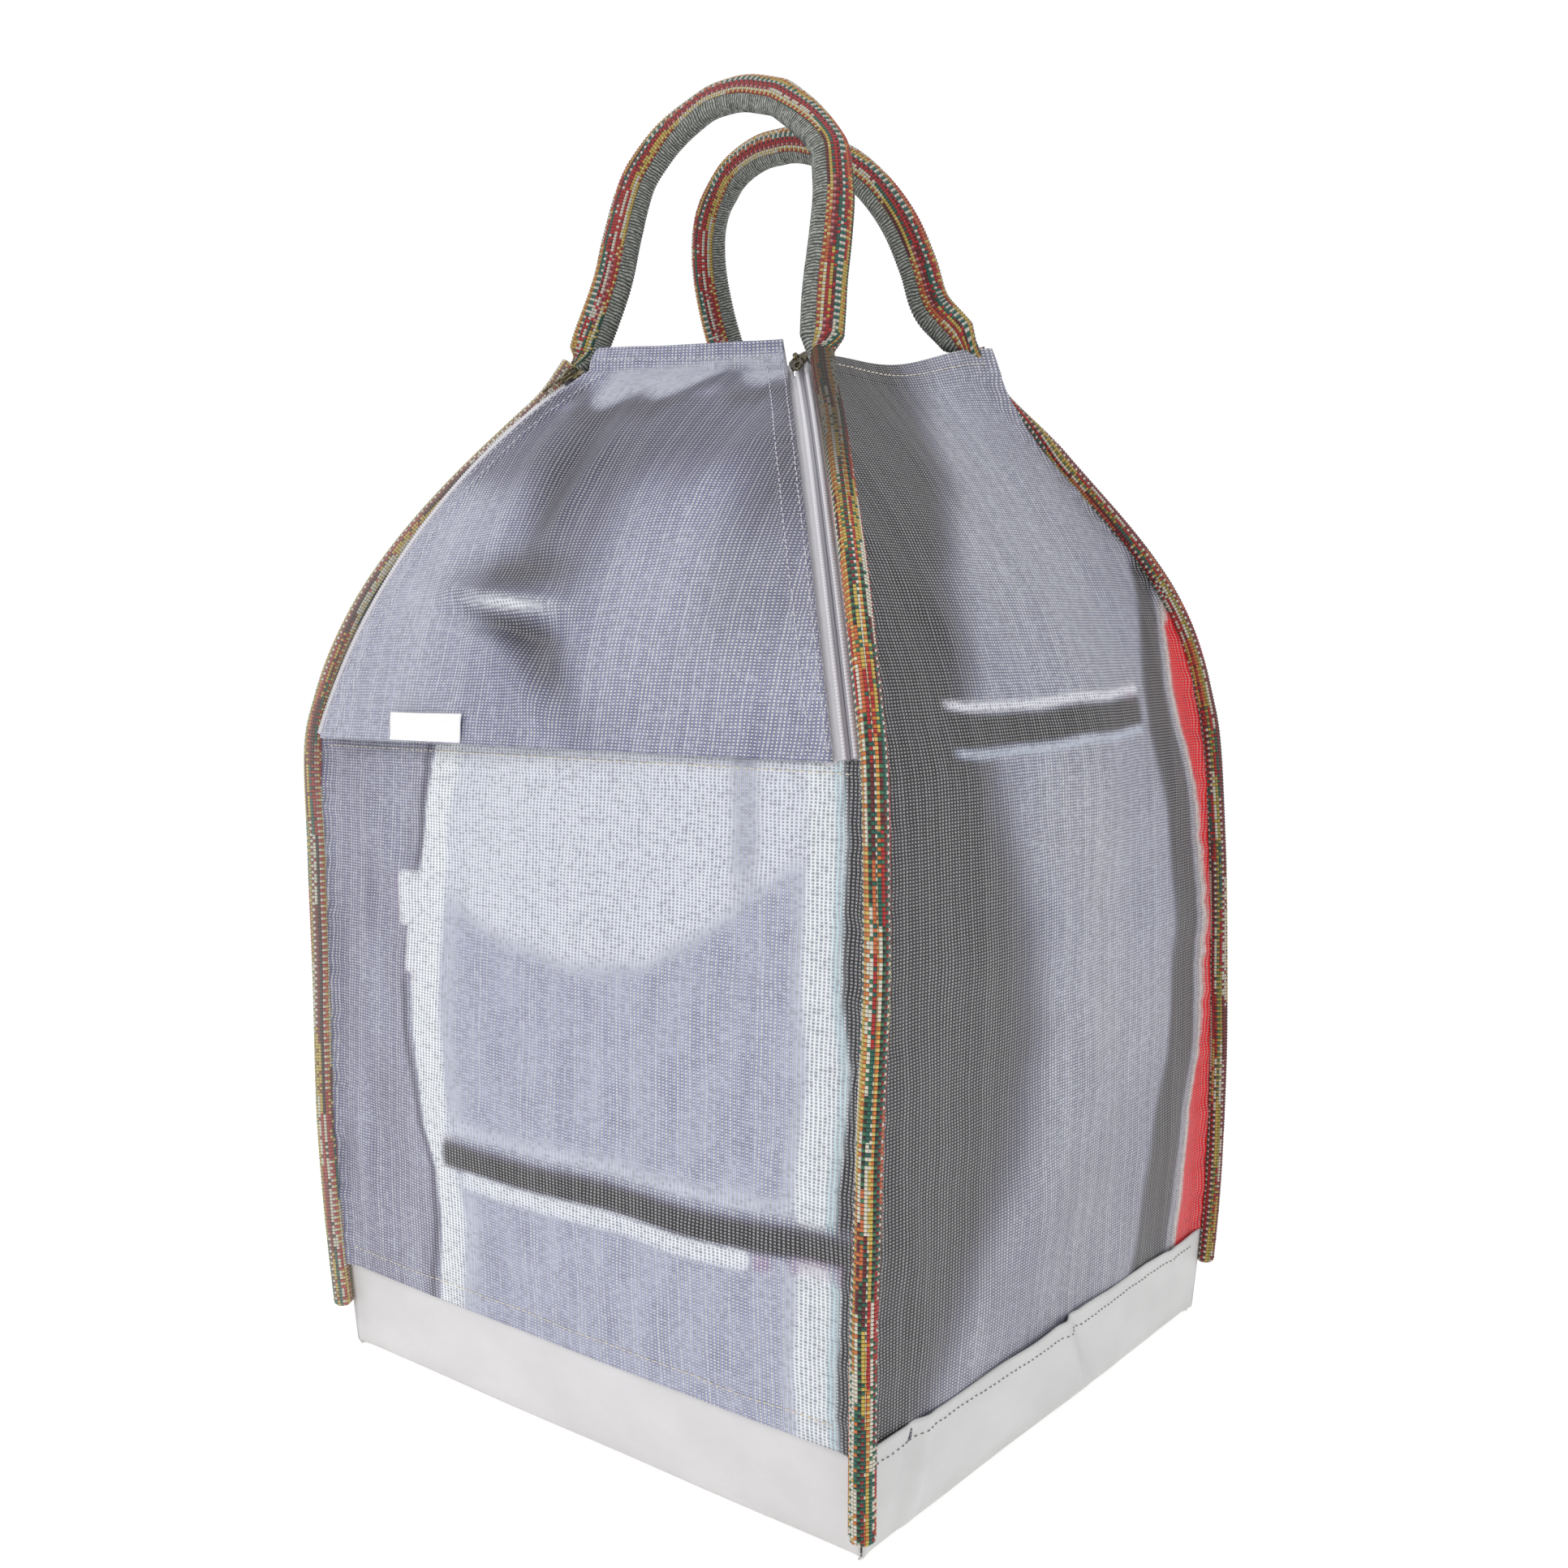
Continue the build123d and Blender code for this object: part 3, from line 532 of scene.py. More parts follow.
# colours across the binding: each column of loops alternates two yarns from rib to rib
YARNS_A = [(196, 168, 66), (150, 150, 70), (132, 36, 38), (150, 40, 42), (70, 26, 30), (190, 44, 42), (226, 198, 112), (224, 204, 130), (140, 40, 50), (204, 30, 36), (200, 34, 38), (226, 222, 210), (30, 104, 92), (214, 176, 84), (214, 122, 50), (60, 120, 84), (34, 96, 80), (226, 220, 205), (206, 42, 40), (96, 36, 42)]
YARNS_B = [(74, 112, 70), (196, 172, 80), (226, 218, 206), (120, 34, 38), (38, 28, 30), (226, 216, 202), (190, 52, 44), (230, 226, 212), (212, 140, 140), (150, 26, 30), (96, 30, 36), (34, 112, 100), (226, 222, 208), (206, 112, 56), (226, 196, 110), (44, 34, 34), (150, 40, 40), (40, 100, 84), (96, 30, 34), (224, 214, 196)]


def webbing(name, pitch=1.5, col=1.30, shift=0.0, shade=0.0, dim=None, dark=(30, 14, 14)):
    """Ribbed webbing of many coloured yarns: each rib crosses the webbing, each column is a pair of yarns."""
    k = Nodes(name)
    u, v = k.uv()
    sway = k.noise(k.vec(0.0, k.math("MULTIPLY", v, 0.012), 3.0), 1.0, 1.0)
    cu = k.math("MULTIPLY", k.math("ADD", u, k.math("MULTIPLY", sway, 2.4)), 1 / col)
    ci = k.math("FLOOR", cu)
    cv = k.math("MULTIPLY", v, 1 / pitch)
    ri = k.math("FLOOR", cv)
    par = k.math("FLOORED_MODULO", k.math("ADD", ci, ri), 2.0)
    fu = k.math("ABSOLUTE", k.math("SUBTRACT", k.math("FRACT", cu), 0.5))
    fv = k.math("ABSOLUTE", k.math("SUBTRACT", k.math("FRACT", cv), 0.5))
    n = len(YARNS_A)
    pos = k.math("FRACT", k.math("ADD", k.math("MULTIPLY", ci, 1 / n), 0.5 / n + shift))
    ca = k.ramp(pos, [(i / n, rgba(*c)) for i, c in enumerate(YARNS_A)], "CONSTANT")
    cb = k.ramp(pos, [(i / n, rgba(*c)) for i, c in enumerate(YARNS_B)], "CONSTANT")
    c = k.mix(k.step(par, 0.4, 0.6), ca, cb)
    rnd = k.white(k.vec(ci, ri))
    blk = k.math("FLOOR", k.math("ADD", k.math("MULTIPLY", v, 0.03), k.math("MULTIPLY", k.white(k.vec(ci, 3.0)), 4.0)))
    rnd2 = k.white(k.vec(blk, ci, 5.0))
    stray = k.ramp(rnd2, [(0.0, rgba(228, 222, 204)), (0.26, rgba(188, 40, 38)), (0.46, rgba(214, 184, 84)), (0.66, rgba(34, 104, 88)), (0.82, rgba(110, 34, 38)), (0.92, rgba(214, 112, 60))], "CONSTANT")
    run = k.white(k.vec(ci, blk, 11.0))
    c = k.mix(k.math("MULTIPLY", k.step(run, 0.50, 0.52), k.step(k.math("ADD", rnd, k.math("MULTIPLY", par, 0.5)), 0.40, 0.42)), c, stray)
    c = k.mix(k.math("MULTIPLY", k.step(rnd, 0.0, 0.6), 0.10), c, rgba(60, 30, 30))
    # painted shade in the grooves between the loop columns and between the ribs
    gap = k.math("MAXIMUM", k.math("MULTIPLY", k.step(fu, 0.38, 0.50), 0.6), k.step(fv, 0.34, 0.49))
    c = k.mix(k.math("MULTIPLY", gap, 0.80), c, rgba(24, 18, 18))
    # painted light and shade: each copy of the webbing is toned by shade towards the colour dark, darker on the handles
    # and the rear binding, paler on the front left binding
    c = k.mix(shade, c, rgba(*dark))
    if dim:      # painted shade: the sunken top of the fold is painted darker
        oz = k.new("ShaderNodeSeparateXYZ")
        k.put(oz.inputs[0], k.new("ShaderNodeTexCoord").outputs["Object"])
        c = k.mix(k.math("MULTIPLY", k.step(oz.outputs[2], *dim), 0.80), c, rgba(34, 14, 14))
    k.set(Base_Color=c, Roughness=0.6)
    bead = k.math("SUBTRACT", 1.0, k.math("MAXIMUM", k.math("MULTIPLY", fu, 2.0), k.math("MULTIPLY", fv, 2.0)))
    k.put(k.b.inputs["Normal"], k.bump(k.math("SQRT", bead), 0.0005, 1.0))
    k.b.inputs["Sheen Weight"].default_value = 0.15
    return k.m


def grey_webbing(name, pitch=1.5, tone=(166, 170, 162)):
    """Grey webbing: strong ribs across, light greenish grey over grooves darkened with painted shade."""
    k = Nodes(name)
    u, v = k.uv()
    wob = k.noise(k.vec(k.math("MULTIPLY", u, 0.25), k.math("MULTIPLY", v, 0.25)), 1.0, 1.0)
    cv = k.math("MULTIPLY", k.math("ADD", v, k.math("MULTIPLY", wob, 1.6)), 1 / pitch)
    fv = k.math("ABSOLUTE", k.math("SUBTRACT", k.math("FRACT", cv), 0.5))
    cu = k.math("ADD", k.math("MULTIPLY", u, 1 / 0.9), k.math("MULTIPLY", k.math("FLOORED_MODULO", k.math("FLOOR", cv), 2.0), 0.5))
    fu = k.math("ABSOLUTE", k.math("SUBTRACT", k.math("FRACT", cu), 0.5))
    rnd = k.white(k.vec(k.math("FLOOR", cu), k.math("FLOOR", cv)))
    c = k.mix(rnd, rgba(*[t - 34 for t in tone]), rgba(*[min(255, t + 16) for t in tone]))
    # painted shade in the grooves between the ribs and between the loops
    c = k.mix(k.math("MULTIPLY", k.step(fv, 0.14, 0.36), 0.92), c, rgba(34, 34, 35))
    c = k.mix(k.math("MULTIPLY", k.step(fu, 0.36, 0.5), 0.45), c, rgba(48, 48, 50))
    k.set(Base_Color=c, Roughness=0.6)
    bead = k.math("SUBTRACT", 1.0, k.math("MAXIMUM", k.math("MULTIPLY", fu, 1.2), k.math("MULTIPLY", fv, 2.0)))
    k.put(k.b.inputs["Normal"], k.bump(bead, 0.0004, 0.9))
    return k.m


def tape(name):
    k = Nodes(name)
    u, v = k.uv()
    z = k.math("ADD", k.math("MULTIPLY", v, 1.25), k.math("MULTIPLY", k.math("PINGPONG", u, 1.6), 1.0))
    f = k.math("ABSOLUTE", k.math("SUBTRACT", k.math("FRACT", z), 0.5))
    c = k.mix(k.math("MULTIPLY", k.step(f, 0.16, 0.42), 0.7), rgba(224, 222, 226), rgba(148, 147, 154))
    k.set(Base_Color=c, Roughness=0.7)
    k.put(k.b.inputs["Normal"], k.bump(f, 0.0002, 0.8))
    return k.m


def coil(name):
    k = Nodes(name)
    u, v = k.uv()
    f = k.math("ABSOLUTE", k.math("SUBTRACT", k.math("FRACT", k.math("MULTIPLY", v, 1 / 1.4)), 0.5))
    side = k.step(k.math("ABSOLUTE", u), 1.2, 1.7)
    c = k.mix(side, rgba(150, 148, 156), rgba(226, 224, 230))
    c = k.mix(k.math("MULTIPLY", k.math("MULTIPLY", k.step(f, 0.28, 0.5), side), 0.5), c, rgba(120, 118, 128))
    k.set(Base_Color=c, Roughness=0.38)
    k.put(k.b.inputs["Normal"], k.bump(f, 0.0003, 0.5))
    return k.m


def metal(name, tone=(92, 84, 60)):
    k = Nodes(name)
    tc = k.new("ShaderNodeTexCoord")
    n = k.noise(tc.outputs["Object"], 900.0, 3.0)
    c = k.mix(k.step(n, 0.35, 0.7), rgba(*[t - 30 for t in tone]), rgba(*[t + 50 for t in tone]))
    k.set(Base_Color=c, Metallic=1.0, Roughness=k.math("ADD", 0.2, k.math("MULTIPLY", n, 0.25)))
    k.put(k.b.inputs["Normal"], k.bump(n, 0.00008, 0.5))
    return k.m


def plain(name, tone, rough=0.6, scale=0.8, var=8, bump=0.0001):
    k = Nodes(name)
    tc = k.new("ShaderNodeTexCoord")
    n = k.noise(tc.outputs["Object"], scale * 1000, 3.0)
    c = k.mix(n, rgba(*[max(0, t - var) for t in tone]), rgba(*[min(255, t + var) for t in tone]))
    k.set(Base_Color=c, Roughness=rough)
    k.put(k.b.inputs["Normal"], k.bump(n, bump, 0.5))
    return k.m


M_FRONT = cloth("printed_mesh_front", 2.0, 1.28, True)
M_SIDE = cloth("printed_mesh_side", 2.0, 1.28, True)
M_WHITE = cloth("mesh_inside", 2.0, 1.28, False)
M_PVC = pvc("pvc_sheet")
M_PVC_IN = pvc("pvc_inside", (232, 231, 232))
# painted shade: a darker copy of the PVC for the right side skirt
M_PVC_S = pvc("pvc_right_painted_shade", (205, 206, 205))
M_WEB = webbing("colour_webbing")
# copies of the webbing: painted shade on the handles, the rear binding and the top of the front right binding, painted
# light on the front left binding
M_WEB2 = webbing("colour_webbing_handle", shift=0.27, shade=0.22)
M_WEB_FR = webbing("colour_webbing_front", shift=0.55, dim=(0.375, 0.43))
M_WEB_BR = webbing("colour_webbing_rear", shift=0.1, shade=0.24, dark=(70, 4, 4))
M_WEB_FL = webbing("colour_webbing_left", shift=0.0, shade=0.20, dark=(222, 224, 214))
M_GREY = grey_webbing("grey_webbing")
M_TAPE = tape("zip_tape")
M_COIL = coil("zip_coil")
M_METAL = metal("zip_metal")
M_THREAD = plain("thread_cream", (226, 218, 200), 0.7)
M_THREAD_D = plain("thread_grey", (120, 116, 116), 0.7)
M_LABEL = plain("label_cloth", (244, 243, 244), 0.75, 1.2, 4)
M_LABEL_E = plain("label_edge", (150, 152, 156), 0.75, 1.2, 6)
M_SEAM = plain("pvc_raw_edge", (86, 78, 72), 0.7)


# ------------------------------------------------------------------ printed colour fields with painted light and shade in places (linear colour from mm positions)
def mixc(c, m, tone):
    return c + (np.asarray(lin(*tone)) - c) * np.clip(m, 0, 1)[..., None]


def band(x, centre, half, soft):
    return 1 - smooth(half - soft, half + soft, np.abs(x - centre))


def paint_front(X, Z):
    w1 = waves(X, Z, 60, 3)
    w2 = waves(X, Z, 22, 4)
    c = np.broadcast_to(np.asarray(lin(166, 171, 206)), X.shape + (3,)).copy()
    c = mixc(c, 0.35 + 0.3 * w1, (170, 176, 212))
    c = mixc(c, 0.10 + 0.2 * w2, (140, 143, 176))
    # painted light: a lighter zone under the seam with a smile-shaped foot, the lit inside seen through the mesh
    foot = np.interp(X, [-110, -76, -46, 5, 51, 93, 125], [262, 232, 216, 208, 214, 238, 262])
    c = mixc(c, smooth(-9, 9, Z - foot) * smooth(-92, -70, X) * 0.85, (206, 211, 230))
    c = mixc(c, band(X, 92 + 6 * np.sin(Z / 34), 7, 5) * smooth(230, 262, Z) * 0.5, (140, 145, 182))
    # greyer strip left of the wavy line
    line_l = np.interp(Z, [41, 80, 103, 123, 167, 194, 242, 265, 294], [-81, -77, -79, -87, -96, -97, -92, -89, -83])
    line_r = np.interp(Z, [42, 84, 105, 127, 170, 196, 240, 266, 293], [-66, -62, -66, -70, -78, -79, -76, -74, -66])
    left = 1 - smooth(-3, 3, X - line_l)
    c = mixc(c, left * (0.75 + 0.2 * w1), (130, 128, 158))
    c = mixc(c, left * smooth(0.2, 1.0, waves(X * 2.0, Z * 0.6, 40, 8)) * 0.4, (112, 110, 140))
    c = mixc(c, band(X, line_l - 4.5 - 1.5 * np.sin(Z / 23), 2.0, 2.2) * 0.75 * (1 - band(Z, 214, 26, 4) * 0.6), (70, 60, 84))
    stripe = smooth(-1.2, 1.2, X - line_l) * (1 - smooth(-2.5, 3.0, X - line_r))
    c = mixc(c, smooth(-1.0, 5, X - line_r) * (1 - smooth(4, 16, X - line_r)) * 0.4, (190, 204, 228))
    c = mixc(c, stripe, (238, 243, 246))
    # step in the line
    tab = (1 - smooth(-1.3, 1.3, X + 92)) * (1 - smooth(-1.2, 1.2, Z - 237)) * np.maximum(smooth(-1.3, 1.3, X + 107) * smooth(-1.2, 1.2, Z - 213), smooth(-1.3, 1.3, X + 101) * smooth(-1.2, 1.2, Z - 192))
    c = mixc(c, band(X, -108.5, 2.2, 1.6) * band(Z, 225, 12, 3) * 0.3, (160, 116, 170))
    c = mixc(c, band(X, -98, 6, 2.0) * band(Z, 190.5, 2.2, 1.6) * 0.3, (140, 104, 158))
    c = mixc(c, tab * 0.95, (236, 238, 244))
    # wide pale stripe at the right with cool fringe and dark strip
    e0 = np.interp(Z, [44, 100, 127, 180, 204, 249, 296], [126, 126, 126, 130, 128, 127, 127]) + 1.0 * np.sin(Z / 13)
    c = mixc(c, smooth(-9, 0, X - e0 + 1) * 0.45, (196, 202, 222))
    c = mixc(c, smooth(-1.6, 1.6, X - e0), (226, 234, 236))
    c = mixc(c, band(X, e0 + 7, 3, 3) * 0.2, (206, 216, 222))
    e1 = e0 + np.interp(Z, [44, 150, 230, 296], [15.5, 15.3, 13.6, 12.6])
    c = mixc(c, band(X, e1 + 1.0, 2.2, 1.6) * 0.8, (118, 192, 204))
    c = mixc(c, smooth(-1.0, 2.2, X - e1 - 3.0), (26, 28, 38))
    # dark band that rises slightly to the right, pale line under it
    mid = np.interp(X, [-80, 3, 72, 113, 150], [111.5, 113.0, 113.5, 115.0, 117.5]) + 0.7 * np.sin(X / 17)
    inb = smooth(-78, -70, X)
    c = mixc(c, inb * band(Z, mid + 13, 4.0, 4.5) * 0.6 * (1 - smooth(118, 128, X)), (188, 197, 224))
    c = mixc(c, inb * band(Z, mid + 2.0, 6.6, 3.6), (100, 96, 122))
    c = mixc(c, inb * band(Z, mid, 5.4, 2.6), (30, 25, 30))
    c = mixc(c, inb * band(Z, mid - 9.2, 3.4, 2.0) * smooth(-66, -56, X) * (1 - smooth(100, 106, X)), (226, 230, 242))
    c = mixc(c, band(Z, mid - 9, 3.0, 1.6) * band(X, 110, 4, 2) * 0.5, (170, 96, 160))
    c = mixc(c, band(Z, mid - 8.0, 3.4, 1.8) * smooth(120, 126, X) * (1 - smooth(146, 149, X)) * 0.45, (168, 108, 170))
    return c


def paint_flap(X, Z, g, f):
    c = np.broadcast_to(np.asarray(lin(146, 148, 184)), X.shape + (3,)).copy()
    w1, w2, w3 = waves(X, Z * 1.1, 80, 21), waves(X, Z, 34, 22), waves(X * 1.6, Z * 0.7, 18, 23)
    c = mixc(c, 0.22 + 0.34 * w1, (160, 162, 196))
    c = mixc(c, 0.10 + 0.26 * w2, (122, 122, 160))
    c = mixc(c, 0.06 + 0.14 * w3, (108, 106, 146))
    c = mixc(c, 0.15, (50, 52, 118))
    # paler at the left, greyer towards the right zip and under the bright window
    c = mixc(c, smooth(-50, -100, X) * smooth(440, 400, Z) * 0.5, (190, 194, 220))
    c = mixc(c, smooth(44, 80, X) * smooth(318, 360, Z) * 0.85, (72, 70, 92))
    c = mixc(c, smooth(396, 424, Z) * (1 - smooth(446, 452, Z)) * 0.7, (74, 72, 96))
    # dark patches: print with painted shade of the upright folds over it, then painted shade over and under the main
    # fold and down to the right below it
    c = mixc(c, np.exp(-(((X + 38 + 0.15 * (Z - 405)) / 17) ** 2) - ((Z - 406) / 34) ** 2) * 0.9, (46, 44, 62))
    c = mixc(c, np.exp(-(((X + 10) / 20) ** 2) - ((Z - 398) / 40) ** 2) * 0.6, (64, 62, 86))
    c = mixc(c, np.exp(-(((X + 44) / 34) ** 2) - ((Z - 371) / 9) ** 2) * 0.9, (36, 34, 50))
    c = mixc(c, np.exp(-(((X + 40) / 30) ** 2) - ((Z - 346 + 0.3 * (X + 40)) / 6.5) ** 2) * 0.9, (36, 34, 50))
    c = mixc(c, np.exp(-(((X + 22 + 0.9 * (Z - 338)) / 15) ** 2) - ((Z - 334) / 24) ** 2) * 0.8, (52, 50, 70))
    # painted highlight along the crest of the main fold
    fold = 358 - 0.09 * (X + 45)
    c = mixc(c, np.exp(-(((X + 42) / 24) ** 2) - ((Z - fold) / 2.8) ** 2) * 0.85, (232, 235, 246))
    # painted light: near the top the flap is painted paler where the white backdrop shows through its holes, over a
    # darker wavy foot
    wav = 449 + 5 * np.sin(X / 15 + 0.6) + 4 * np.sin(X / 6.2)
    c = mixc(c, band(Z, wav, 6.0, 5.0) * 0.75, (62, 60, 84))
    c = mixc(c, smooth(2, 9, Z - wav) * (1 - smooth(466, 471, Z)) * smooth(-62, -50, X) * 0.7, (190, 194, 216))
    c = mixc(c, smooth(-10, 26, X) * band(Z, 350, 36, 20) * 0.35, (172, 175, 208))
    c = mixc(c, band(X, 24 + 5 * np.sin(Z / 20), 9, 6) * band(Z, 420, 22, 14) * 0.35, (92, 88, 122))
    return c


def paint_side(Y, Z):
    w1, w2, w3 = waves(Y, Z, 90, 31), waves(Y, Z, 30, 32), waves(Y * 1.5, Z * 0.5, 26, 33)
    c = np.broadcast_to(np.asarray(lin(142, 145, 172)), Y.shape + (3,)).copy()
    c = mixc(c, 0.3 + 0.4 * w1, (162, 163, 180))
    c = mixc(c, 0.1 + 0.2 * w2, (122, 123, 144))
    c = mixc(c, 0.05 + 0.12 * w3, (170, 172, 192))
    c = mixc(c, smooth(200, 90, Z) * 0.34, (96, 94, 112))
    c = mixc(c, smooth(20, 90, Y) * smooth(200, 320, Z) * 0.20, (100, 98, 116))
    # charcoal field towards the front, its edge wanders
    edge = np.interp(Z, [34, 50, 89, 129, 174, 224, 275, 319, 367, 409, 450, 480], [-108, -98, -74, -44, -26, -34, -54, -66, -50, -6, 18, 30])
    wide = np.interp(Z, [34, 129, 224, 319, 409, 480], [22, 28, 30, 22, 24, 26])
    dark = 1 - smooth(-1.0, 1.0, (Y - edge) / wide)
    c = mixc(c, dark * 0.97, (24, 20, 22))
    c = mixc(c, dark * (0.10 + 0.12 * w2), (60, 53, 56))
    # dark cross band, pale line over it and a bluish one under it
    mid = np.interp(Y, [-100, -46, 69], [307, 304, 308]) + 0.5 * np.sin(Y / 9)
    inb = smooth(-90, -80, Y) * (1 - smooth(72, 79, Y))
    c = mixc(c, inb * band(Z, mid + 9.6, 1.5, 1.9) * 0.95, (232, 230, 242))
    c = mixc(c, inb * band(Z, mid, 6.4, 2.0), (26, 22, 25))
    c = mixc(c, inb * band(Z, mid - 9.0, 1.5, 1.9) * 0.85, (176, 194, 222))
    # painted shade: a dark diagonal crease near the front binding at the top
    c = mixc(c, np.exp(-(((Z - 411 + 0.30 * (Y + 60)) / 3.2) ** 2)) * band(Y, -56, 26, 10) * 0.8, (10, 8, 9))
    c = mixc(c, band(Z, mid + 9, 4, 3) * band(Y, 66, 5, 3) * 0.3, (198, 150, 170))
    # dark wavy upright, pale strips and the red strip at the rear edge
    dl = np.interp(Z, [30, 70, 108, 144, 202, 261, 300, 320, 340, 360, 377, 420, 480], [68, 76, 83, 98, 104, 96, 82, 84, 93, 106, 117, 140, 150])
    dr = dl + np.interp(Z, [61, 144, 199, 300, 374], [40, 32, 27, 28, 16])
    c = mixc(c, band(Y, (dl + dr) / 2, (dr - dl) / 2, 5) * smooth(500, 400, Z) * 0.96, (26, 22, 25))
    c = mixc(c, band(Y, dr - 8, 3, 3) * 0.35 * smooth(430, 380, Z), (92, 84, 90))
    c = mixc(c, smooth(-1.5, 2.5, Y - dr) * smooth(440, 380, Z), (152, 150, 160))
    c = mixc(c, band(Y, dr + 4.5, 1.4, 1.6) * 0.5 * smooth(440, 380, Z), (120, 118, 132))
    rl = dr + np.interp(Z, [50, 140, 215, 320, 400], [11, 9, 9, 8, 7])
    c = mixc(c, band(Y, rl - 1.5, 2, 2) * 0.7 * smooth(430, 380, Z), (232, 196, 168))
    c = mixc(c, smooth(-1.5, 2.0, Y - rl) * smooth(425, 375, Z), (226, 6, 4))
    return c


def paint_back(X, Z):
    w1, w2 = waves(X, Z, 80, 51), waves(X, Z, 28, 52)
    c = np.broadcast_to(np.asarray(lin(140, 143, 176)), X.shape + (3,)).copy()
    c = mixc(c, 0.3 + 0.35 * w1, (158, 162, 192))
    c = mixc(c, 0.1 + 0.2 * w2, (120, 122, 156))
    line = -38 + 10 * np.sin(Z / 58) + 3 * np.sin(Z / 17)
    c = mixc(c, smooth(8, -70, X - line) * 0.5, (104, 104, 136))
    c = mixc(c, band(X, line - 9, 2.2, 2.4) * 0.7, (70, 62, 82))
    c = mixc(c, band(X, line, 7.0, 2.4), (232, 237, 242))
    mid = 196 + 0.05 * X + 0.8 * np.sin(X / 19)
    c = mixc(c, smooth(-24, -16, X) * band(Z, mid, 6.2, 3.0), (54, 47, 53))
    c = mixc(c, smooth(-20, -12, X) * (1 - smooth(96, 104, X)) * band(Z, mid - 10, 3.2, 2.2) * 0.9, (226, 230, 242))
    return c


def paint_left(Y, Z):
    w1, w2 = waves(Y, Z, 90, 61), waves(Y, Z, 30, 62)
    c = np.broadcast_to(np.asarray(lin(128, 130, 158)), Y.shape + (3,)).copy()
    c = mixc(c, 0.3 + 0.4 * w1, (150, 152, 178))
    c = mixc(c, 0.1 + 0.2 * w2, (112, 113, 138))
    edge = 50 + 28 * np.sin(Z / 75 + 1.0)
    c = mixc(c, smooth(-30, 30, Y - edge) * 0.92, (48, 42, 47))
    up = -78 + 12 * np.sin(Z / 62)
    c = mixc(c, band(Y, up, 9, 4) * 0.9, (50, 44, 50))
    c = mixc(c, band(Y, up - 15, 4.5, 2.5) * 0.9, (214, 216, 226))
    c = mixc(c, band(Y, up + 14, 2.0, 2.4) * 0.6, (186, 198, 222))
    return c


# ------------------------------------------------------------------ panels
def side_grid(side, t0, t1, step, bulge_t, bulge, flare=1.6, u0=0.0, u1=1.0, step_u=None, tuck=2.6):
    """Grid of points over one side between its corner lines, with outward vectors, surface coordinates and g."""
    ca, cb = SIDES[side]
    tt = np.linspace(t0, t1, 400)
    a, b = corner(ca, tt), corner(cb, tt)
    ln = np.concatenate([[0], np.cumsum(np.linalg.norm(np.diff((a + b) / 2, axis=0), axis=1))])
    rows = max(4, int(ln[-1] / step) + 1)
    t = np.interp(np.linspace(0, ln[-1], rows), ln, tt)
    v0 = t0 * 297.0
    V = np.linspace(0, ln[-1], rows) + v0
    a, b = corner(ca, t), corner(cb, t)
    w = np.linalg.norm(b - a, axis=1)
    cols = int(w.max() / (step_u or step)) + 1
    g = np.linspace(u0, u1, cols)
    u = unit(b - a)
    n = unit(np.cross(u, A(0, 0, 1)))
    P = a[:, None] + (b - a)[:, None] * g[None, :, None]
    bul = np.interp(t, bulge_t, bulge)
    P = P + n[:, None] * (bul[:, None] * 4 * g * (1 - g))[..., None]
    # the cloth turns outwards into the corner seams
    dist = np.minimum(g[None] * w[:, None], (1 - g)[None] * w[:, None])
    P = P + n[:, None] * (flare * 0.6 * np.exp(-(dist / 3.0) ** 2))[..., None]
    for name, near in ((ca, g[None] * w[:, None]), (cb, (1 - g)[None] * w[:, None])):
        d = unit(A(DIAG[name][0], DIAG[name][1], 0))
        reach = tuck + (3.0 * smooth(1.72, 1.95, t)[:, None] if name == "BR" and side == "right" else 0.0)
        P = P + (reach * np.exp(-(near / (4.0 + 0.6 * (reach - tuck))) ** 2))[..., None] * d
    G = np.broadcast_to(g, P.shape[:2])
    VV = np.broadcast_to(V[:, None], P.shape[:2])
    ax = {"front": (0, 1), "back": (0, -1), "right": (1, 1), "left": (1, -1)}[side]
    UU = P[..., ax[0]] * ax[1]
    return P, np.broadcast_to(n[:, None], P.shape).copy(), UU, VV, G, dist, t


def pucker(dist, V, seed, amp=0.55, size=17.0):
    """Small gathers along the corner seams."""
    rng = np.random.default_rng(seed)
    ph = rng.uniform(0, 6.28, 4)
    s = np.sin(V / size * 6.28 + ph[0]) + 0.7 * np.sin(V / (size * 0.61) * 6.28 + ph[1]) + 0.6 * np.sin(V / (size * 1.9) * 6.28 + ph[2])
    return amp * s * np.exp(-dist / 9.0) * smooth(0, 3.5, dist)


fine = 3.2 if QUICK else 1.5
soft_pieces = {}

# front lower panel
P, N, U, V_, G, D, T = side_grid("front", 42.0 / 297, (seam_z - 1.2) / 297, fine, [0.14, .37, .606, .808, 1.0], [1.6, 3.0, 3.4, 2.0, 0.8])
Z = P[..., 2]
X = P[..., 0]
disp = 1.3 * waves(U, V_, 110, 11) * np.sin(math.pi * G) + 0.45 * waves(U, V_, 42, 12) + pucker(D, V_, 13)
disp += ridge(U, V_, (-150, 285), (-95, 215), 9, 1.2) + ridge(U, V_, (95, 270), (60, 150), 14, 1.1) - ridge(U, V_, (-60, 160), (20, 60), 16, 1.0)
disp += ridge(U, V_, (-135, 120), (-120, 50), 7, 0.9) - ridge(U, V_, (110, 200), (135, 90), 8, 0.9)
disp *= smooth(0, 14, Z - 42) * 0.8 + 0.2
disp *= smooth(0, 10, seam_z - Z) * 0.85 + 0.15
P = P + N * (disp + 0.9)[..., None]
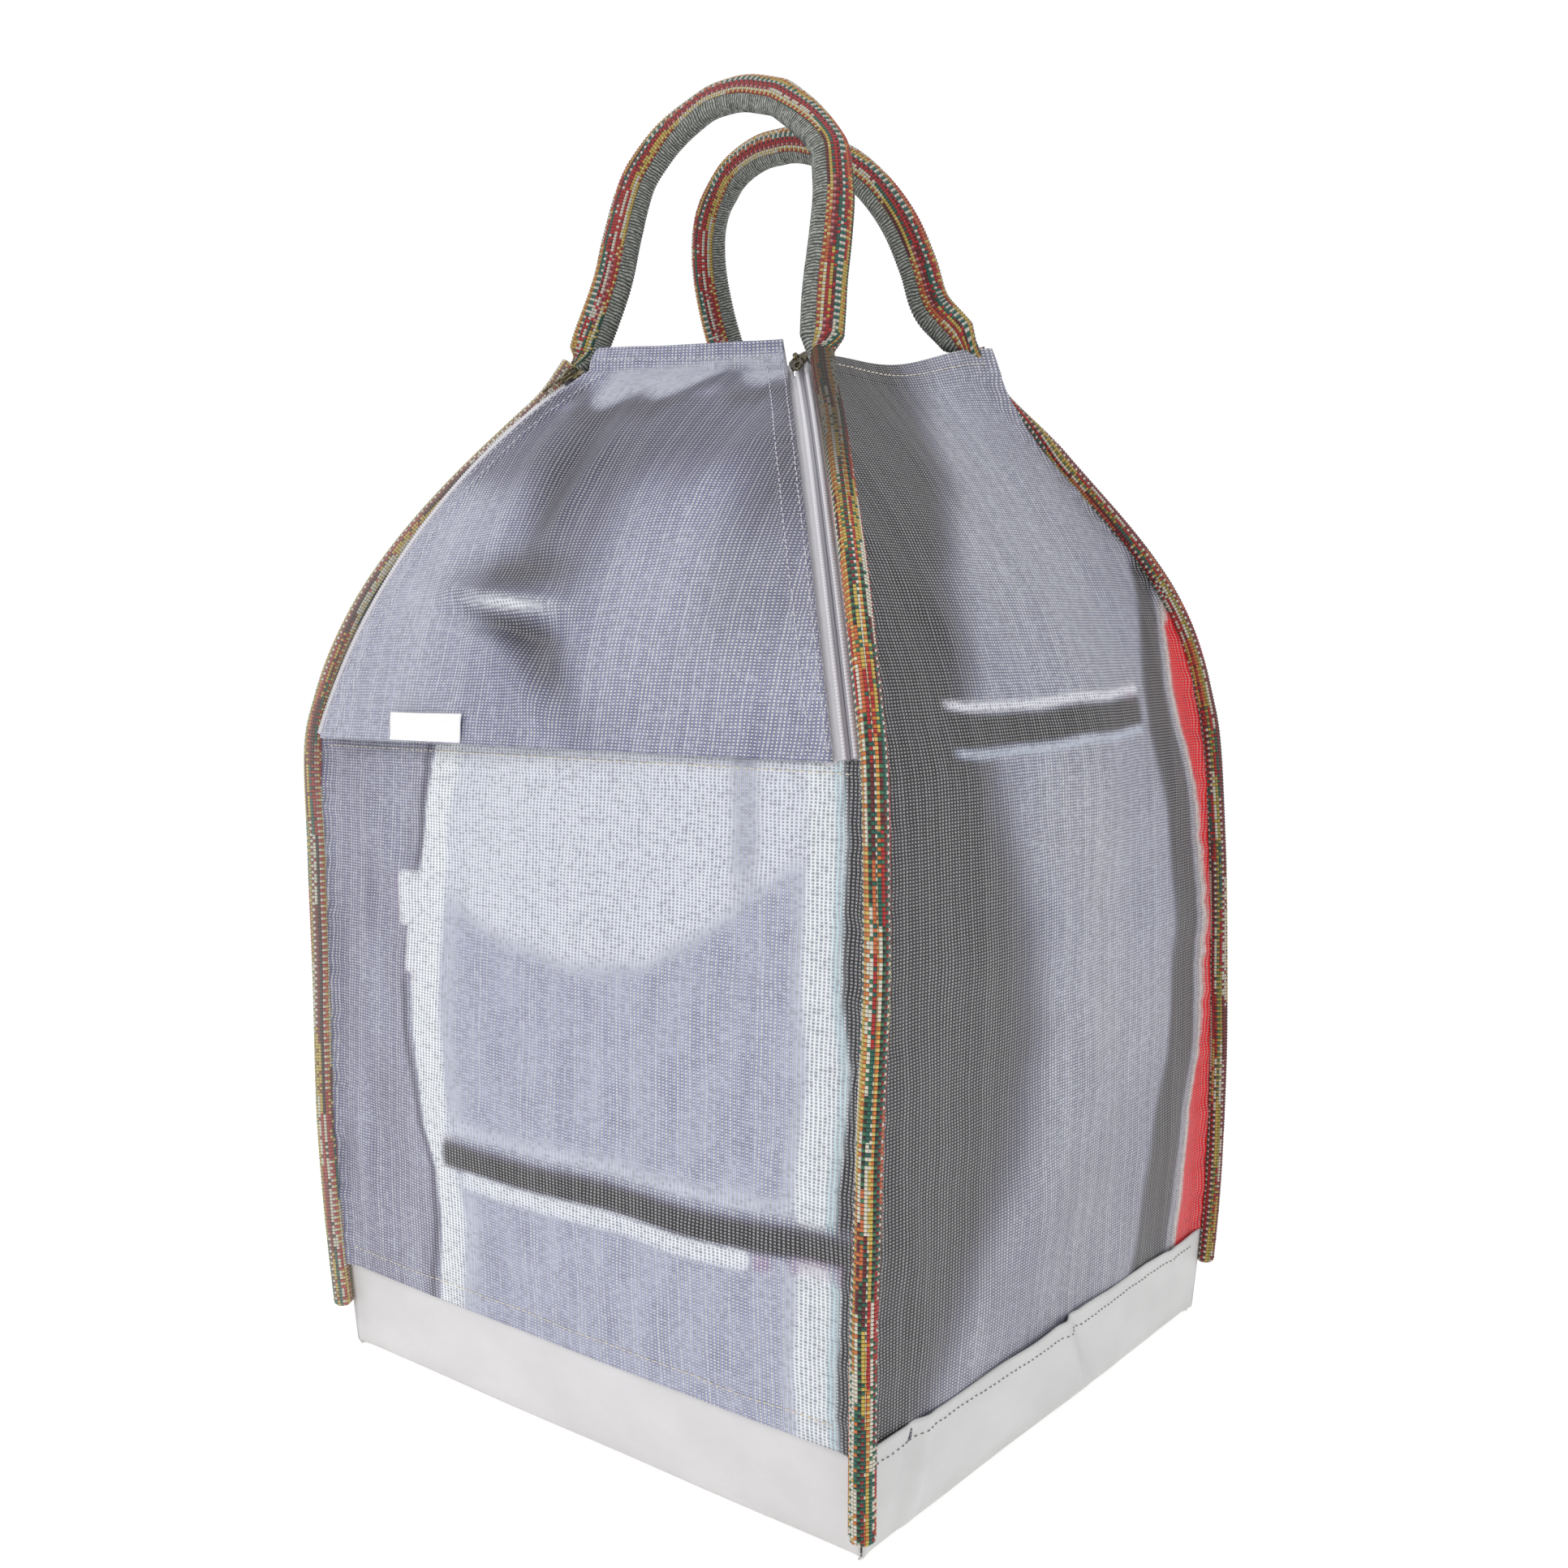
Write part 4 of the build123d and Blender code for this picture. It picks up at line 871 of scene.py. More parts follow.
hem = np.maximum(smooth(286.4, 285.0, Z) * 0, smooth(284.8, 285.6, Z)) * 0.55 + (1 - smooth(56.5, 57.5, Z)) * 0.35
o, FL_O, FL_N = sheet("front_lower_cloth", P, N, np.stack([U, V_], -1), [M_FRONT, M_WHITE], 0.3, -0.3, paint_front(X, Z), thick=hem)
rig.ride(o, "bag"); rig.replaces(o, "front_lower_panel"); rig.slot(o, "printed_mesh")
front_low = (P, grid_normals(P, N))

# side and back panels
TB = [0.14, .37, .606, .808, 1.0, 1 + 2 / 11, 1 + 4 / 11, 1 + 6 / 11, 1 + 8 / 11, 1 + 10 / 11, 2.0]
BB = [1.4, 3.0, 3.4, 3.0, 2.0, 1.0, 0.6, -1.0, -2.0, -3.0, -3.6]
panel_grid = {}
for side, seed, paint in (("right", 101, paint_side), ("back", 201, paint_back), ("left", 301, paint_left)):
    low = (42.0 if side == "back" else 35.0) / 297
    P, N, U, V_, G, D, T = side_grid(side, low, 2.0, fine, TB, BB)
    Z = P[..., 2]
    top = smooth(1.75, 2.0, T)[:, None]
    disp = 1.6 * waves(U, V_, 120, seed) * np.sin(math.pi * G) + 0.5 * waves(U, V_, 45, seed + 1) + pucker(D, V_, seed + 2)
    s = {"right": 1, "back": 1, "left": -1}[side]
    disp += ridge(U, V_, (-120, 430), (-60, 330), 10, 1.6) - ridge(U, V_, (-40, 465), (-10, 330), 12, 1.8) + ridge(U, V_, (60, 440), (90, 330), 11, 1.4)
    disp += ridge(U, V_, (-125, 140), (-100, 50), 8, 1.0) + ridge(U, V_, (10, 190), (40, 70), 16, 1.0)
    disp *= smooth(0, 14, Z - 42) * 0.8 + 0.2
    disp = disp - 2.2 * top * np.sin(math.pi * G) ** 2
    off = 0.9 if side == "back" else -0.4
    P = P + N * (disp + off)[..., None]
    # the open top edge hangs a little between the handles
    P[..., 2] -= 5.5 * smooth(1.55, 2.0, T)[:, None] ** 2 * np.sin(math.pi * G) ** 2
    vtop = V_.max()
    hem = smooth(vtop - 13.2, vtop - 12.4, V_) * 0.5 + ((1 - smooth(56.5, 57.5, Z)) * 0.3 if side == "back" else 0)
    colour = paint(P[..., 1] if side != "back" else P[..., 0], Z)
    mat = M_FRONT if side == "back" else M_SIDE
    o, O_, N_ = sheet(side + "_cloth", P, N, np.stack([U, V_], -1), [mat, M_WHITE], 0.3, -0.3, colour, thick=hem)
    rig.ride(o, "bag"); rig.replaces(o, side + "_panel"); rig.slot(o, "printed_mesh")
    panel_grid[side] = (P, grid_normals(P, N), U, V_, G)


# ------------------------------------------------------------------ PVC skirts and base
for side in SIDES:
    out = side in ("left", "right")
    top = skirt_h + 0.6 if out else skirt_h + 8.0
    P, N, U, V_, G, D, T = side_grid(side, 0.0, top / 297, 2.2 if not QUICK else 4, [0, .07, .14, .17], [0.6, 1.1, 1.6, 1.8], flare=0.8, tuck=1.0)
    Z = P[..., 2].copy()
    seed = {"front": 401, "right": 411, "back": 421, "left": 431}[side]
    disp = 0.55 * waves(U, Z * 1.6, 90, seed) + 0.25 * waves(U, Z, 34, seed + 1)
    if side == "right":
        disp += ridge(U, Z, (0, 46), (26, 8), 2.8, 2.2) - ridge(U, Z, (8, 46), (34, 8), 2.6, 1.8) + ridge(U, Z, (30, 40), (44, 20), 3.0, 0.5)
        disp += ridge(U, Z, (-101, 44), (-114, 2), 4.0, 1.6) - ridge(U, Z, (-110, 46), (-122, 4), 3.4, 1.6) + ridge(U, Z, (112, 44), (122, 14), 3.0, 1.2)
        disp += ridge(U, Z, (-92, 40), (-70, 6), 4.0, 0.5) - ridge(U, Z, (84, 44), (104, 18), 4.0, 0.5)
    if side == "front":
        disp += ridge(U, Z, (96, 30), (128, 6), 5.0, 0.5) - ridge(U, Z, (-120, 34), (-96, 4), 6.0, 0.5)
        disp += ridge(U, Z, (64, 8), (110, 2), 3.0, 0.4)
    if side in ("back", "left"):
        disp += ridge(U, Z, (-60, 40), (-38, 8), 3.0, 0.7) - ridge(U, Z, (50, 42), (74, 12), 3.0, 0.6)
    disp *= smooth(0, 5, Z) * smooth(0, 6, D)
    # rounded foot
    disp = disp - 2.4 * (1 - smooth(0, 3.4, Z)) ** 2
    off = 0.95 if out else -0.35
    P = P + N * (disp + off)[..., None]
    if out:   # the PVC's top edge isn't quite straight
        P[..., 2] += (0.9 * np.sin(U / 31 + 1.0) + 0.5 * np.sin(U / 11)) * smooth(20, 42, Z)
    P[..., 2] = np.maximum(P[..., 2], 0.35)
    # the right skirt takes the darker copy of the PVC, painted shade
    o, O_, N_ = sheet(side + "_skirt_pvc", P, N, np.stack([U, Z], -1), [M_PVC_S if side == "right" else M_PVC, M_PVC_IN], 0.35, -0.35)
    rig.ride(o, "bag"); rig.replaces(o, side + "_skirt"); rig.slot(o, "pvc")
    panel_grid[side + "_skirt"] = (P, grid_normals(P, N), U, Z, G)

n = 60
gx, gy = np.meshgrid(np.linspace(-base_w / 2 + 1.2, base_w / 2 - 1.2, n), np.linspace(-base_d / 2 + 1.2, base_d / 2 - 1.2, n))
P = np.stack([gx, gy, 0.75 + 0.25 * waves(gx, gy, 90, 501)], -1)
o, O_, N_ = sheet("base_pvc", P, np.broadcast_to(A(0, 0, 1), P.shape), np.stack([gx, gy], -1), [M_PVC_IN, M_PVC], 0.35, -0.35)
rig.ride(o, "bag"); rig.replaces(o, "base_floor"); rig.slot(o, "pvc")


# ------------------------------------------------------------------ zips
def zip_frame(side, s):
    """Chain line, width towards the flap, outward, up: arrays for arrays of s."""
    z = ZIPS[side]
    s = np.asarray(s, float)
    th = (s / z["r"])[..., None]
    n, r0 = unit(A(z["n"])), A(z["top"])
    r0 = unit(r0 - n * (r0 @ n))
    rad = r0 * np.cos(th) + np.cross(n, r0) * np.sin(th)
    f = math.radians(z["phi"])
    w = n * (z["sgn"] * math.cos(f)) + rad * math.sin(f)
    o = rad * math.cos(f) - n * (z["sgn"] * math.sin(f))
    up = -np.cross(n, rad)
    return A(z["c"]) + rad * z["r"], w, o, up


zip_len = {k: math.radians(z["arc"]) * z["r"] for k, z in ZIPS.items()}
slider_low = {k: v - 9.5 for k, v in zip_len.items()}


def root_line(side, s):
    """Panels' corner line beside the chain, by nearest cross plane."""
    name = "FL" if side == "left" else "FR"
    t = np.linspace(0.97, 2.0, 600)
    line = corner(name, t)
    z = ZIPS[side]
    c, n = A(z["c"]), unit(A(z["n"]))
    r0 = A(z["top"])
    r0 = unit(r0 - n * (r0 @ n))
    q = line - c
    q = q - (q @ n)[:, None] * n
    th = np.arctan2(np.cross(r0, q) @ n, q @ r0)
    order = np.argsort(th)
    want = np.asarray(s, float) / z["r"]
    return np.stack([np.interp(want, th[order], line[order, i]) for i in range(3)], -1)


def strip_solid(name, lines, uvs, mats):
    """A closed solid swept along parallel lines (C lines of R points), as a wrapped tube."""
    rings = np.stack(lines, 1)
    R, C = rings.shape[:2]
    uv = np.stack(uvs, 1)
    uv = np.concatenate([uv, uv[:, :1]], 1)
    o = tube(name, rings, uv, mats)
    return o


for side in ZIPS:
    ln = zip_len[side]
    sg = ZIPS[side]["sgn"]
    # coils: ribbed, with the smooth line of meshed loops between them
    for part, sign, s0, s1, body in (("outer", -1, 0.4, ln - 1.0, "bag"), ("inner", 1, slider_top + slider_len / 2 + 0.2, ln - 1.6, "flap")):
        s = np.arange(s0, s1, 0.35)
        p, w, ou, up = zip_frame(side, s)
        rib = np.abs(np.sin(math.pi * s / 1.4))
        prof = [(0.12, 0.3), (0.12, 1.25), (0.8, 1.4), (1.25, 1.45), (1.5, 2.0), (2.2, 2.35), (3.0, 2.0), (3.35, 1.2), (3.2, 0.3)]
        lines, uvs = [], []
        for a, m in prof:
            amp = smooth(1.25, 1.6, a) * 0.42
            mm = m - amp * (1 - rib) * (1 if m > 0.5 else 0)
            lines.append(p + w * (sign * a) + ou * mm[:, None])
            uvs.append(np.stack([np.full(len(s), a * 1.0), s], -1))
        o = strip_solid(f"{side}_{part}_chain", lines, uvs, [M_COIL])
        fix_normals(o)
        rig.ride(o, body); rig.replaces(o, f"{side}_{part}_coil"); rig.slot(o, "zip_coil")
    # tapes
    s = np.linspace(0.2, ln - 0.6, 110)
    p, w, ou, up = zip_frame(side, s)
    q = root_line(side, s)
    if side == "left":
        q = q + unit(A(-1, -1, 0)) * (5.0 * smooth(ln, ln - 25, s) * smooth(-2, 10, s) + 0.3)[:, None]
    cols = 14
    P = np.zeros((len(s), cols, 3))
    UVs = np.zeros((len(s), cols, 2))
    edge = p - w * 5.2
    wl = np.linalg.norm(q - edge, axis=1)
    for j in range(cols):
        g = j / (cols - 1)
        if j < 5:
            a = 0.7 + (5.2 - 0.7) * j / 4
            P[:, j] = p - w * a
            UVs[:, j, 0] = a
        else:
            h = (j - 4) / (cols - 5)
            P[:, j] = edge + (q - edge) * h - ou * (0.8 * math.sin(math.pi * h))
            UVs[:, j, 0] = 5.2 + wl * h
        UVs[:, j, 1] = s
    o, O_, N_ = sheet(f"{side}_outer_zip_tape", P, np.broadcast_to(ou[:, None], P.shape), UVs, [M_TAPE], 0.28, -0.28)
    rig.ride(o, "bag"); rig.replaces(o, f"{side}_outer_tape"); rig.slot(o, "zip_tape")
    s = np.linspace(slider_top + slider_len / 2 + 0.2, ln - 1.2, 110)
    p, w, ou, up = zip_frame(side, s)
    P = np.stack([p + w * a for a in np.linspace(0.7, 11.0, 9)], 1)
    UVs = np.stack([np.stack([np.full(len(s), a), s], -1) for a in np.linspace(0.7, 11.0, 9)], 1)
    o, O_, N_ = sheet(f"{side}_inner_zip_tape", P, np.broadcast_to(ou[:, None], P.shape), UVs, [M_TAPE], 0.26, -0.26)
    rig.ride(o, "flap"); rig.replaces(o, f"{side}_inner_tape"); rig.slot(o, "zip_tape")
    # folded tape ends at the top, beside the slider
    s = np.linspace(-4.0, slider_top + slider_len / 2 + 1.5, 16)
    p, w, ou, up = zip_frame(side, s)
    lift = 0.9 * smooth(2, -4, s)[:, None]
    P = np.stack([p + w * a + ou * (0.25 + lift * (1 + 0.2 * math.sin(a))) for a in np.linspace(4.9, 9.0, 6)], 1)
    UVs = np.stack([np.stack([np.full(len(s), a), s], -1) for a in np.linspace(4.9, 9.0, 6)], 1)
    o, O_, N_ = sheet(f"{side}_tape_end", P, np.broadcast_to(ou[:, None], P.shape), UVs, [M_TAPE], 0.3, -0.3)
    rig.ride(o, "flap"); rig.slot(o, "zip_tape")


# ------------------------------------------------------------------ front flap
def edge_point(side, s, m):
    p, w, o, up = zip_frame(side, s)
    return p + w * (8.6 if side == "left" else 7.0) + o * m


def s_at_height(side, z):
    lo, hi = 0.0, zip_len[side] + 12.0
    for _ in range(60):
        mid = (lo + hi) / 2
        if edge_point(side, mid, flap_gap)[2] > z:
            lo = mid
        else:
            hi = mid
    return lo


flap_low = {k: s_at_height(k, seam_z + 0.9) for k in ZIPS}
rows = int(215 / fine)
cols = int(300 / fine)
f = np.linspace(-0.012, 1.0, rows)
sl, sr = flap_low["left"] * (1 - f), flap_low["right"] * (1 - f)
a, b = edge_point("left", sl, flap_gap), edge_point("right", sr, flap_gap)
upv = zip_frame("left", sl)[3] + zip_frame("right", sr)[3]
nn = unit(np.cross(b - a, upv))
bul = 0.8 + 3.0 * np.sin(math.pi * np.clip(f, 0, 1)) ** 2 - 1.2 * f * f
# the hem stands above the ends of the zips
rise = np.linspace(0, 1, int(13 / fine) + 2)[1:, None]
a = np.concatenate([a, a[-1] + A(3.6, 2.9, 10.6) * rise + A(-0.8, -0.6, 0.4) * np.sin(math.pi * rise)])
b = np.concatenate([b, b[-1] + A(-1.6, -1.3, 13.0) * rise])
nn = np.concatenate([nn, np.repeat(nn[-1:], len(rise), 0)])
bul = np.concatenate([bul, np.repeat(bul[-1:], len(rise))])
g = np.linspace(0, 1, cols)
P = a[:, None] + (b - a)[:, None] * g[None, :, None] + nn[:, None] * (bul[:, None] * 4 * g * (1 - g))[..., None]
N = np.broadcast_to(nn[:, None], P.shape).copy()
mid = P[:, cols // 2]
vl = np.concatenate([[0], np.cumsum(np.linalg.norm(np.diff(mid, axis=0), axis=1))])
V_ = np.broadcast_to(vl[:, None], P.shape[:2])
U = P[..., 0]
wdt = np.linalg.norm(b - a, axis=1)
D = np.minimum(g[None] * wdt[:, None], (1 - g)[None] * wdt[:, None])
G = np.broadcast_to(g, P.shape[:2])
disp = 1.1 * waves(U, V_, 90, 601) + 0.6 * waves(U, V_, 38, 602)
# the main fold and its hollow, and softer folds that run from the shoulders
disp += ridge(U, V_, (-80, 70), (-12, 61), 4.6, 4.4) - ridge(U, V_, (-78, 59), (-8, 46), 6.0, 4.0) - ridge(U, V_, (-84, 84), (-20, 80), 8.0, 2.0)
disp += ridge(U, V_, (-22, 150), (-30, 96), 6, 2.2) - ridge(U, V_, (-38, 168), (-46, 92), 7, 2.6) + ridge(U, V_, (-60, 165), (-66, 100), 8, 1.8)
disp += ridge(U, V_, (-52, 50), (-8, 10), 7, 2.2) - ridge(U, V_, (-40, 52), (6, 22), 7, 2.0) + ridge(U, V_, (-112, 110), (-60, 40), 8, 1.4)
disp += ridge(U, V_, (60, 150), (20, 90), 12, 1.6) - ridge(U, V_, (92, 96), (50, 50), 12, 1.4)
disp += ridge(U, V_, (-140, 40), (-120, 14), 6, 1.2)
disp = disp * smooth(0, 16, D) * smooth(0, 12, V_) * (1 - 0.7 * smooth(186, 216, V_))
disp += pucker(D, V_, 603, 0.35, 13.0)
P = P + N * (disp + 0.3)[..., None]
vtop = V_.max()
hem = smooth(12.6, 11.8, D) * 0.45
hem = np.maximum(hem, smooth(vtop - 13.0, vtop - 12.2, V_) * 0.5)
o, FO, FN = sheet("front_flap_cloth", P, N, np.stack([U, V_ + 297.0], -1), [M_FRONT, M_WHITE], 0.3, -0.3, paint_flap(P[..., 0], P[..., 2], G, f), thick=hem)
FOLD0, FOLD1 = (0, -0.1455, 0.2985), (0, -0.1420, 0.3115)
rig.blend(o, "bag", "flap", start=FOLD0, end=FOLD1)
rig.replaces(o, "front_flap"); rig.slot(o, "printed_mesh")
flap_grid = (P, FN, U, V_, G, D)


# ------------------------------------------------------------------ webbing: corner bindings and handles
def resample(pts, step):
    pts = np.asarray(pts, float)
    d = np.concatenate([[0], np.cumsum(np.linalg.norm(np.diff(pts, axis=0), axis=1))])
    # smooth curve through the points, then even steps
    fine_s = np.linspace(0, d[-1], 1500)
    curve = hermite(d, pts, fine_s)
    e = np.concatenate([[0], np.cumsum(np.linalg.norm(np.diff(curve, axis=0), axis=1))])
    n = int(e[-1] / step) + 1
    s = np.linspace(0, e[-1], n)
    return np.stack([np.interp(s, e, curve[:, i]) for i in range(3)], -1), s, np.interp(np.interp(s, e, fine_s), d, np.linspace(0, 1, len(d)) * (len(d) - 1))


RIB = 1.5
STEP = RIB / (2 if QUICK else 4)


def rib_wave(s, amp):
    return amp * (np.abs(np.sin(math.pi * s / RIB)) ** 0.8 - 0.6)


def super_ellipse(n, a, b, e=2.3):
    th = np.linspace(0, 2 * math.pi, n, endpoint=False)
    c, s = np.cos(th), np.sin(th)
    return np.sign(c) * np.abs(c) ** (2 / e) * a, np.sign(s) * np.abs(s) ** (2 / e) * b, th


BIND = {"FL": ("front_left_binding", 20.0), "FR": ("front_right_binding", 10.6), "BR": ("rear_right_binding", 24.0), "BL": ("rear_left_binding", 22.0)}
foot = {}
bind_top = {}
NC = 14 if QUICK else 26
for name, (node, z0) in BIND.items():
    d = unit(A(DIAG[name][0], DIAG[name][1], 0))
    t = np.concatenate([np.linspace(z0 / 297, 1, 40), np.linspace(1.02, 2.0, 60)])
    base = corner(name, t)
    foot[name] = base[-1] + d * (6.4 - {"FL": 9.4, "BR": 18.4}.get(name, 2.8)) + A(0, 0, 7.6)
    # the rear right one folds behind the side panel near the top
    turn = np.radians(86.0) * smooth(1.72, 1.95, t) * (name == "BR")
    dd = np.stack([d[0] * np.cos(turn) - d[1] * np.sin(turn), d[0] * np.sin(turn) + d[1] * np.cos(turn), 0 * turn], -1)
    slim = smooth(0.98, 1.06, t) * (name == "FL")       # the zip tape covers its inner edge
    line = base + dd * (6.4 + 0.8 * slim)[:, None]
    arc0 = np.concatenate([[0], np.cumsum(np.linalg.norm(np.diff(line, axis=0), axis=1))])
    line, s, _ = resample(line, STEP)
    tan = unit(np.gradient(line, axis=0))
    dd = unit(np.stack([np.interp(s / s[-1] * arc0[-1], arc0, dd[:, i]) for i in range(3)], -1))
    q = unit(dd - tan * (tan * dd).sum(-1)[:, None])
    side = np.cross(tan, q)
    a, b, th = super_ellipse(NC, 4.5, 4.95 if name == "FR" else 4.35, 2.35)
    thin = 1 - 0.19 * np.interp(s / s[-1] * arc0[-1], arc0, slim)
    # free lower end is rounded off, and the whole binding wanders a little
    end = np.sqrt(np.clip(1 - (1 - np.clip(s / 3.5, 0, 1)) ** 2, 0.03, 1))
    wander = 0.35 * np.sin(s / 31 + d[0]) + 0.25 * np.sin(s / 13 + d[1] * 2)
    rad = 1 + (rib_wave(s, 0.55) / 4.6)
    twist = 0.10 * np.sin(s / 70 + d[0] * 2)
    rings = np.zeros((len(s), NC, 3))
    for j in range(NC):
        ca, sa = a[j], b[j]
        ra = ca * np.cos(twist) - sa * np.sin(twist)
        rb = ca * np.sin(twist) + sa * np.cos(twist)
        # the edge loops on the bag's side stand a little proud
        lip = 0.35 if abs(abs(th[j] - math.pi) - 0.95) < 0.25 else 0.0
        rings[:, j] = line + q * ((ra * thin * rad * end)[:, None]) + side * (((rb * (1 + lip / 5)) * rad * end + wander * 0.5)[:, None])
    per = np.concatenate([[0], np.cumsum(np.hypot(np.diff(np.append(a, a[0])), np.diff(np.append(b, b[0]))))])
    uv = np.stack([np.broadcast_to(per[None] + 3.7 * d[0], (len(s), NC + 1)), np.broadcast_to(s[:, None], (len(s), NC + 1))], -1)
    o = tube(node + "_webbing", rings, uv, [{"FR": M_WEB_FR, "BR": M_WEB_BR, "FL": M_WEB_FL}.get(name, M_WEB)])
    fix_normals(o)
    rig.ride(o, "bag"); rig.replaces(o, node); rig.slot(o, "colour_webbing")
    bind_top[name] = (line, q, side)


def handle(name, line_pts, ka, kb):
    fa, fb = foot[ka], foot[kb]
    ax = unit(fb - fa)
    midp = A(line_pts[6]) - fa
    e_up = unit(midp - ax * (midp @ ax))
    nrm = np.cross(ax, e_up)

    def flat(p):
        p = A(p)
        return fa + ax * ((p - fa) @ ax) + e_up * ((p - fa) @ e_up)

    la, lb = bind_top[ka][0], bind_top[kb][0]
    run_a, run_b = flat(line_pts[0]) - fa, flat(line_pts[-1]) - fb
    pts = [la[-int(9 / STEP)] * 0.5 + (fa - unit(run_a) * 15.5) * 0.5, fa - unit(run_a) * 6.5, fa + run_a * 0.08] + [flat(p) for p in line_pts] + [fb + run_b * 0.08, fb - unit(run_b) * 6.5, lb[-int(9 / STEP)] * 0.5 + (fb - unit(run_b) * 15.5) * 0.5]
    pts = np.array(pts)
    line, s, idx = resample(pts, STEP)
    # slight kinks of the stiff webbing near the top
    rng = np.random.default_rng(7 if name == "front" else 9)
    total = s[-1]
    kink = 0
    for c0 in ((0.30, 0.44, 0.565, 0.70) if name == "front" else (0.36, 0.50, 0.62)):
        kink = kink + 0.9 * np.exp(-((s / total - c0) / 0.022) ** 2)
    tan = unit(np.gradient(line, axis=0))
    q = np.cross(tan, nrm)
    centre = fa + ax * (np.linalg.norm(fb - fa) / 2) + e_up * 60.0
    sgn = np.sign(((line - centre) * q).sum(-1))
    q = q * sgn[:, None]
    line = line + q * (kink * (1 if name == "front" else -0.6))[:, None] + nrm * (0.5 * np.sin(s / 37))[:, None]
    k = np.minimum(s, total - s)
    # both legs are turned the same way about the upright
    turn = np.radians(36.0) * smooth(4, 18, k) * (1 - smooth(0.30, 0.44, k / total)) * np.where(s < total / 2, 1.0, -1.0)
    sg = np.sign((np.cross(tan, q) * nrm).sum(-1))[:, None]
    q, nrm_s = q * np.cos(turn)[:, None] + np.cross(tan, q) * np.sin(turn)[:, None], None
    nrm_s = np.cross(tan, q) * sg
    hw = np.interp(k, [0, 9, 16, 30, 70, 110], [4.4, 6.4, 9.6, 9.8, 9.4, 8.6])
    ht = np.interp(k, [0, 9, 16, 60], [4.2, 4.6, 5.2, 5.5])
    cut = -0.22
    res = []
    # coloured webbing: wraps the outer part, with its two folded edges standing over the lining
    na = 15 if QUICK else 28
    a0 = math.asin(cut)
    ang = np.linspace(a0 - 0.06, math.pi - a0 + 0.06, na)
    rad = 1 + rib_wave(s, 0.55) / 6.5
    outer = np.stack([line + q * (hw * rad * math.sin(t))[:, None] + nrm_s * (ht * rad * math.copysign(abs(math.cos(t)) ** 0.86, math.cos(t)))[:, None] for t in ang], 1)
    inner = np.stack([line + q * (hw * 0.80 * math.sin(t))[:, None] + nrm_s * (ht * 0.78 * math.cos(t))[:, None] for t in ang[::-1]], 1)
    rings = np.concatenate([outer, inner], 1)
    arc = np.concatenate([[0], np.cumsum(np.linalg.norm(np.diff(outer[len(s) // 2], axis=0), axis=1))])
    per = np.concatenate([arc, arc[::-1], [0]])
    uv = np.stack([np.broadcast_to(per[None], (len(s), len(per))), np.broadcast_to(s[:, None], (len(s), len(per)))], -1)
    o = tube(name + "_handle_colour", rings, uv, [M_WEB2])
    fix_normals(o)
    res.append((o, name + "_handle_webbing", "colour_webbing"))
    # grey lining: the inner part, its ribs a little finer
    nb = 12 if QUICK else 22
    ang = np.linspace(math.pi - a0 - 0.16, 2 * math.pi + a0 + 0.16, nb)
    rad = 0.96 + rib_wave(s, 0.45) / 6.5
    outer = np.stack([line + q * (hw * rad * math.sin(t))[:, None] + nrm_s * (ht * rad * math.copysign(abs(math.cos(t)) ** 0.86, math.cos(t)))[:, None] for t in ang], 1)
    inner = np.stack([line + q * (hw * 0.72 * math.sin(t))[:, None] + nrm_s * (ht * 0.70 * math.cos(t))[:, None] for t in ang[::-1]], 1)
    rings = np.concatenate([outer, inner], 1)
    arc = np.concatenate([[0], np.cumsum(np.linalg.norm(np.diff(outer[len(s) // 2], axis=0), axis=1))])
    per = np.concatenate([arc, arc[::-1], [0]])
    uv = np.stack([np.broadcast_to(per[None], (len(s), len(per))), np.broadcast_to(s[:, None], (len(s), len(per)))], -1)
    o = tube(name + "_handle_grey", rings, uv, [M_GREY])
    fix_normals(o)
    res.append((o, name + "_handle_lining", "grey_webbing"))
    # the padding inside, seen only at the feet
    th = np.linspace(0, 2 * math.pi, 12, endpoint=False)
    sk = slice(0, None, 8)
    rings = np.stack([line[sk] + q[sk] * (hw[sk] * 0.74 * math.sin(t))[:, None] + nrm_s[sk] * (ht[sk] * 0.72 * math.cos(t))[:, None] for t in th], 1)
    uv = np.zeros((rings.shape[0], 13, 2))
    o = tube(name + "_handle_core", rings, uv, [M_CORE])
    fix_normals(o)
    res.append((o, None, "grey_webbing"))
    mid = (fa + fb) / 2
    for o, node, slot in res:
        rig.blend(o, "bag", name + "_handle", start=tuple((mid - e_up * 2.0) * MM), end=tuple((mid + e_up * 26.0) * MM))
        if node:
            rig.replaces(o, node)
        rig.slot(o, slot)
    return line, q, nrm


M_CORE = plain("handle_core", (120, 120, 120), 0.8)
handle("front", FRONT_LINE, "FL", "FR")
handle("rear", REAR_LINE, "BL", "BR")


# ------------------------------------------------------------------ sliders and pulls
import bmesh


